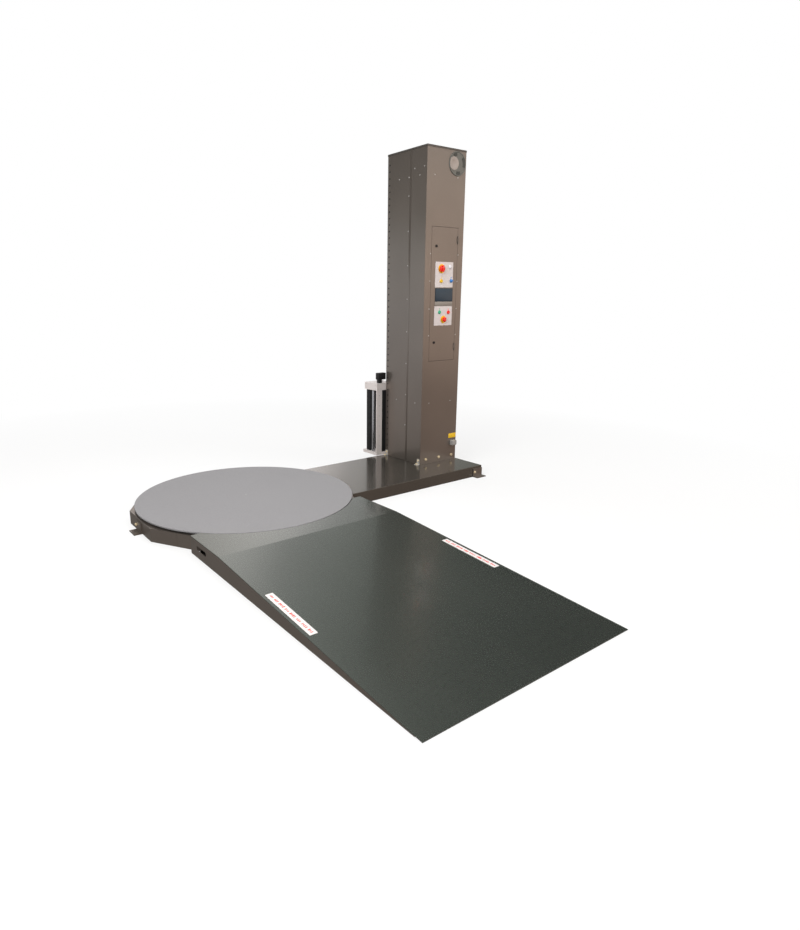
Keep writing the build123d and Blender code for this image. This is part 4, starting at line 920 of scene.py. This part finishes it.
# ---- behind the door ----------------------------------------------------------------------------
def electrics():
    """Mounting plate with drives, contactors, terminals, a supply and slotted wiring ducts."""
    boxes = solids("electrics_panel")
    plate = [box for box in boxes if span(box).y < 3 * MM][0]
    face, up, front = plate[0].y, (0, 0, 1), (0, -1, 0)
    Shape().cad("electrics_panel", lambda box: span(box).y < 3 * MM or box[1].y > face + 10 * MM).piece(
        "mounting_plate", "base", "device_grey", ["electrics_panel"], galvanised)
    cases, dark, pale = Shape(), Shape(), Shape()
    fins, screws = [], []
    for low, high in boxes:
        size = high - low

        def part(shape, bottom, top, soft, steps=2):
            """Box inside this device, by its distances in millimetres from the lowest and highest corner."""
            shape.box(low + Vector(bottom) * MM, high - Vector(top) * MM, soft * MM, steps)

        def fin_row(pitch, count, depth):
            fins.extend((low + Vector((pitch * (i + 1), depth, size.z / MM - 1)) * MM, up, 1.0)
                        for i in range(count))

        if high.y > face + 1 * MM or size.y > 0.2:
            continue
        if size.x > 0.2:                # terminal rail
            part(pale, (0, 0, 0), (0, 0, 0), 0.6, 1)
        elif size.z > 0.17:             # drive
            depth, tall = size.y / MM, size.z / MM
            part(cases, (0, 0, 0), (0, 0, 0), 3)
            part(dark, (20, -2, tall - 70), (20, depth - 2, 35), 1)
            part(dark, (6, -1, 4), (6, depth - 4, tall - 40), 1.5)
            fin_row(10, 11, 65)
        elif size.z > 0.11:             # supply
            part(cases, (0, 0, 0), (0, 0, 0), 2.5)
            fin_row(14, 9, 55)
        elif size.z > 0.07:             # contactor
            part(dark, (0, 22, 0), (0, 0, 0), 1.5)
            part(cases, (5, 0, 18), (5, size.y / MM - 24, 18), 1.5)
            screws += [((low.x + x * MM, low.y + 22 * MM, z), front, 2.6 * MM)
                       for x in (9, 22.5, 36) for z in (low.z + 9 * MM, high.z - 9 * MM)]
        else:                           # terminal
            part(cases, (0, 0, 10), (0, 0, 10), 0.8)
            part(dark, (1, 12, 0), (1, 0, 0), 0.6)
            screws += [(((low.x + high.x) / 2, low.y, z), front, 3 * MM)
                       for z in (low.z + 17 * MM, high.z - 17 * MM)]
    cases.piece("device_cases", "base", "device_grey")
    dark.piece("device_fronts", "base", "device_grey", finish=device_black)
    pale.piece("terminal_rail", "base", "device_grey", finish=galvanised)
    grow("terminal_screws", ZINC_SCREW, screws, "base", "device_grey")
    fin_size, slat_size = (0.003, 0.08, 0.004), (0.008, 0.052, 0.002)
    grow("cooling_fins", bar_row("cooling_fin", device_black, fin_size, fin_size, 1), fins,
         "base", "device_grey")
    trunk, slats = Shape(), []
    depth, wide, pitch = 55 * MM, 38 * MM, 12 * MM
    left, right = plate[0].x + 8 * MM, plate[1].x - 8 * MM
    for z in (1.14, 1.44, 1.63, 1.93):
        trunk.box((left, face - 4 * MM, z), (right, face, z + wide), 0.8 * MM, 1)
        trunk.box((left, face - depth - 3 * MM, z - 1 * MM), (right, face - depth, z + wide + 1 * MM),
                  0.8 * MM, 1)
        slats += [((left + (i + 0.5) * pitch, face - depth + 26 * MM, edge), up, 1.0)
                  for i in range(int((right - left) / pitch)) for edge in (z, z + wide - 2 * MM)]
    trunk.piece("duct_covers", "base", "device_grey", finish=duct_grey)
    grow("duct_slats", bar_row("duct_slat", duct_grey, slat_size, slat_size, 2), slats, "base", "device_grey")


def broken_edges():
    """Sheet metal whose bends and cut edges catch the light."""
    for node, body, slot, width, finish in (
            ("ramp_deck", "base", "deck_paint", 0.8, None),
            ("platform_cover", "base", "body_paint", 0.6, glossy_taupe),
            ("ring_skirt", "base", "body_paint", 0.6, None),
            ("ramp_cheeks", "base", "body_paint", 0.8, None),
            ("front_frame", "base", "body_paint", 0.8, None),
            ("side_covers", "base", "body_paint", 0.9, None),
            ("back_covers", "base", "body_paint", 0.6, None),
            ("anchor_feet", "base", "body_paint", 1.2, None),
            ("top_cap", "base", "cap_paint", 0.5, None),
            ("cabinet_door", "door", "body_paint", 0.8, None),
            ("carriage_frame", "carriage", "carriage_grey", 1.0, None),
            ("carriage_plate", "carriage", "black_paint", 0.8, None)):
        softened(node + "_edged", node, body, slot, width * MM, finish)


def seam_strip():
    """Joint strip over the seam between the two covers of the left side."""
    low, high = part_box("side_covers")
    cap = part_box("top_cap")[0].z
    seam = [box for box in solids("side_covers") if box[0].x < low.x + MM][0][1].y
    strip = Shape().box((low.x - 0.8 * MM, seam - 20 * MM, low.z + 3 * MM), (low.x, seam, cap - 1 * MM),
                        0.35 * MM)
    strip.piece("seam_strip", "base", "body_paint")


def skirt_lip():
    """Inward flange below the top edge of the ring skirt; the disc's rim hides its inner edge."""
    low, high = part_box("ring_skirt")
    sides, wall = 12, 3 * MM
    flat = (high.y - low.y) / 2 - wall
    outer, inner = flat / cos(pi / sides) - 0.2 * MM, 738 * MM
    top, bottom = high.z - 0.4 * MM, high.z - 2.6 * MM
    ring = [(inner, bottom), (outer, bottom), (outer, top), (inner, top), (inner, bottom)]
    turn = Matrix.Rotation(pi / sides, 4, "Z")
    Shape().turned(ring, turn, sides).piece("skirt_lip", "base", "body_paint")


for build in (broken_edges, skirt_lip, seam_strip, cover_screws, frame_bolts, hole_plugs, ramp_labels,
              round_badge, corner_brackets, name_plate, power_inlet, plates, screen, push_buttons,
              emergency_stop, rotary_switch, selector_switch, contact_blocks, photocell, carriage_fixings,
              electrics):
    build()


# ---- floor, light and camera -----------------------------------------------------------------
PAGE = (1.0, 1.0, 1.0)
# colours of the room's walls by the sine of the height above the horizon
ROOM_LEFT = ((-1.0, (0.1, 0.085, 0.075)), (-0.27, (0.15, 0.14, 0.13)), (-0.16, (0.46, 0.43, 0.42)),
             (-0.02, (0.66, 0.68, 0.7)), (0.07, (0.62, 0.65, 0.65)), (0.105, (0.34, 0.36, 0.34)),
             (0.13, (0.03, 0.035, 0.03)), (1.0, (0.015, 0.018, 0.015)))
ROOM_RIGHT = ((-1.0, (0.1, 0.08, 0.07)), (-0.25, (0.18, 0.14, 0.12)), (-0.14, (0.26, 0.19, 0.155)),
              (-0.03, (0.95, 0.73, 0.6)), (0.12, (0.95, 0.8, 0.68)), (0.22, (0.75, 0.7, 0.64)),
              (0.5, (0.5, 0.48, 0.46)), (1.0, (0.06, 0.065, 0.06)))
# ahead, the same scale is moved along by the sine of the heading, so it runs past -1 and 1
ROOM_AHEAD = ((-1.5, (0.1, 0.08, 0.07)), (-0.6, (0.35, 0.32, 0.3)), (0.0, (0.78, 0.72, 0.69)),
              (0.2, (1.4, 1.33, 1.3)), (0.3, (1.15, 1.1, 1.09)), (0.39, (0.52, 0.51, 0.51)),
              (0.5, (0.44, 0.45, 0.43)), (0.67, (0.23, 0.24, 0.22)), (0.84, (0.06, 0.068, 0.06)),
              (1.0, (0.02, 0.024, 0.02)), (1.5, (0.0, 0.0, 0.0)))
AHEAD_LEAN = 2.0    # how fast the wall ahead darkens towards its right
AHEAD_REACH = 1.5   # ends of its scale


def pale_floor():
    """Pale floor that fades into the plain background away from the machine."""
    mesh = bpy.data.meshes.new("studio_floor")
    reach = 40.0
    corners = [(-reach, -reach, 0), (reach, -reach, 0), (reach, reach, 0), (-reach, reach, 0)]
    mesh.from_pydata(corners, [], [(0, 1, 2, 3)])
    floor = shown("studio_floor", mesh)
    paint = Paint("floor_pale", roughness=0.85)
    paint.set("Base Color", paint.mix(paint.noise(1.5, 3.0) * 0.1, (0.9, 0.9, 0.9), (0.86, 0.86, 0.86)))
    glow = paint.node("ShaderNodeEmission", {}, {"Color": PAGE, "Strength": 1.0})
    distance = paint.node("ShaderNodeVectorMath", {"operation": "LENGTH"}, {0: paint.place}, output="Value")
    fade = paint.between(distance, 2.4, 5.2, 0.7, 1.0)
    painted = Value(paint, paint.shader.outputs[0])
    both = paint.node("ShaderNodeMixShader", {}, {0: fade, 1: painted, 2: glow})
    paint.feed(paint.tree.nodes["Material Output"].inputs["Surface"], both)
    mesh.materials.append(paint.material)
    floor.visible_glossy = False
    floor.visible_diffuse = False


def shade_under():
    """Painted shadow under the machine: a dark card just above the floor, kept inside its outline."""
    inset, lift = 12 * MM, 0.6 * MM
    skirt, ramp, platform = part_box("ring_skirt"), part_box("ramp_deck"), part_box("platform_cover")
    centre, reach = (skirt[0] + skirt[1]) / 2, (skirt[1].y - skirt[0].y) / 2 - inset
    turns = [pi * i / 24 for i in range(48)]
    outlines = [[(centre.x + reach * cos(t), centre.y + reach * sin(t)) for t in turns]]
    for low, high in (ramp, platform):
        outlines.append([(low.x + inset, low.y + inset), (high.x - inset, low.y + inset),
                         (high.x - inset, high.y - inset), (low.x + inset, high.y - inset)])
    bm = bmesh.new()
    for level, outline in enumerate(outlines):
        bm.faces.new([bm.verts.new((x, y, lift * (1 + level))) for x, y in outline])
    mesh = bpy.data.meshes.new("floor_shade")
    bm.to_mesh(mesh)
    bm.free()
    paint = Paint("floor_shade", roughness=0.9)
    # painted shadow: near-black colour of the card that darkens the floor under the machine
    paint.set("Base Color", paint.mix(paint.noise(3.0, 3.0), (0.035, 0.032, 0.03), (0.02, 0.019, 0.018)))
    mesh.materials.append(paint.material)
    shown("floor_shade", mesh)


def room():
    """Workshop seen in the gloss: pale walls, brown floor, dark ceiling; the camera sees the page."""
    world = bpy.data.worlds.new("studio")
    bpy.context.scene.world = world
    world.use_nodes = True
    sky = ShaderTree(world.node_tree)
    direction = sky.node("ShaderNodeTexCoord", output="Generated")
    x, y, z = (sky.axis(name, direction) for name in "XYZ")

    def wall(stops, height, shift=0.0, reach=1.0):
        ramp = sky.node("ShaderNodeValToRGB", {}, {0: sky.between(height, shift - reach, shift + reach)})
        elements = ramp.socket.node.color_ramp.elements
        while len(elements) < len(stops):
            elements.new(1)
        for element, (sine, colour) in zip(elements, stops):
            element.position = (sine + reach) / (2 * reach)
            element.color = (*colour, 1)
        return ramp

    ahead = wall(ROOM_AHEAD, x * AHEAD_LEAN + z, AHEAD_LEAN / 2, AHEAD_REACH)
    right = sky.mix(sky.between(y, -0.2, 0.15), wall(ROOM_RIGHT, z), ahead)
    around = sky.mix(sky.between(x, -0.35, 0.25), wall(ROOM_LEFT, z), right)
    walls = sky.node("ShaderNodeBackground", {}, {"Color": around})
    page = sky.node("ShaderNodeBackground", {}, {"Color": PAGE})
    direct = sky.node("ShaderNodeLightPath", output="Is Camera Ray")
    seen = sky.node("ShaderNodeMixShader", {}, {0: direct, 1: walls, 2: page})
    sky.feed(sky.tree.nodes["World Output"].inputs["Surface"], seen)


def studio():
    """Floor, room and four softboxes that the gloss does not show."""
    pale_floor()
    shade_under()
    room()
    target = Vector((0.6, -0.4, 0.8))
    for name, place, size, power, tint in (
            ("softbox_left", (-4.5, -2.5, 3.7), 3.5, 310, (1, 0.98, 0.96)),
            ("softbox_right", (4.8, -4.5, 3.8), 3.0, 160, (1, 0.96, 0.93)),
            ("softbox_top", (0.0, -1.0, 5.5), 4.5, 150, (1, 1, 0.99)),
            ("softbox_back", (0.5, 5.0, 4.2), 4.0, 120, (0.96, 0.98, 1))):
        lamp = bpy.data.lights.new(name, "AREA")
        lamp.size = size
        lamp.energy = power
        lamp.color = tint
        holder = shown(name, lamp)
        holder.location = place
        holder.rotation_mode = "QUATERNION"
        holder.rotation_quaternion = (target - Vector(place)).to_track_quat("-Z", "Y")
        holder.visible_glossy = False
    bpy.context.scene.view_settings.view_transform = "Standard"


def camera():
    """Eye level beside the ramp, looking along the platform."""
    place = (-1.8523, -3.8188, 1.4457)
    heading, tilt, roll = radians(35.79), radians(14.43), radians(-0.296)
    lens = bpy.data.cameras.new("camera")
    lens.lens = 24.0
    lens.shift_x = 0.0545
    lens.shift_y = -0.0072
    eye = shown("camera", lens)
    turn = Matrix.Rotation(-heading, 4, "Z") @ Matrix.Rotation(pi / 2 - tilt, 4, "X")
    eye.matrix_world = Matrix.Translation(place) @ turn @ Matrix.Rotation(roll, 4, "Z")
    bpy.context.scene.camera = eye


studio()
camera()
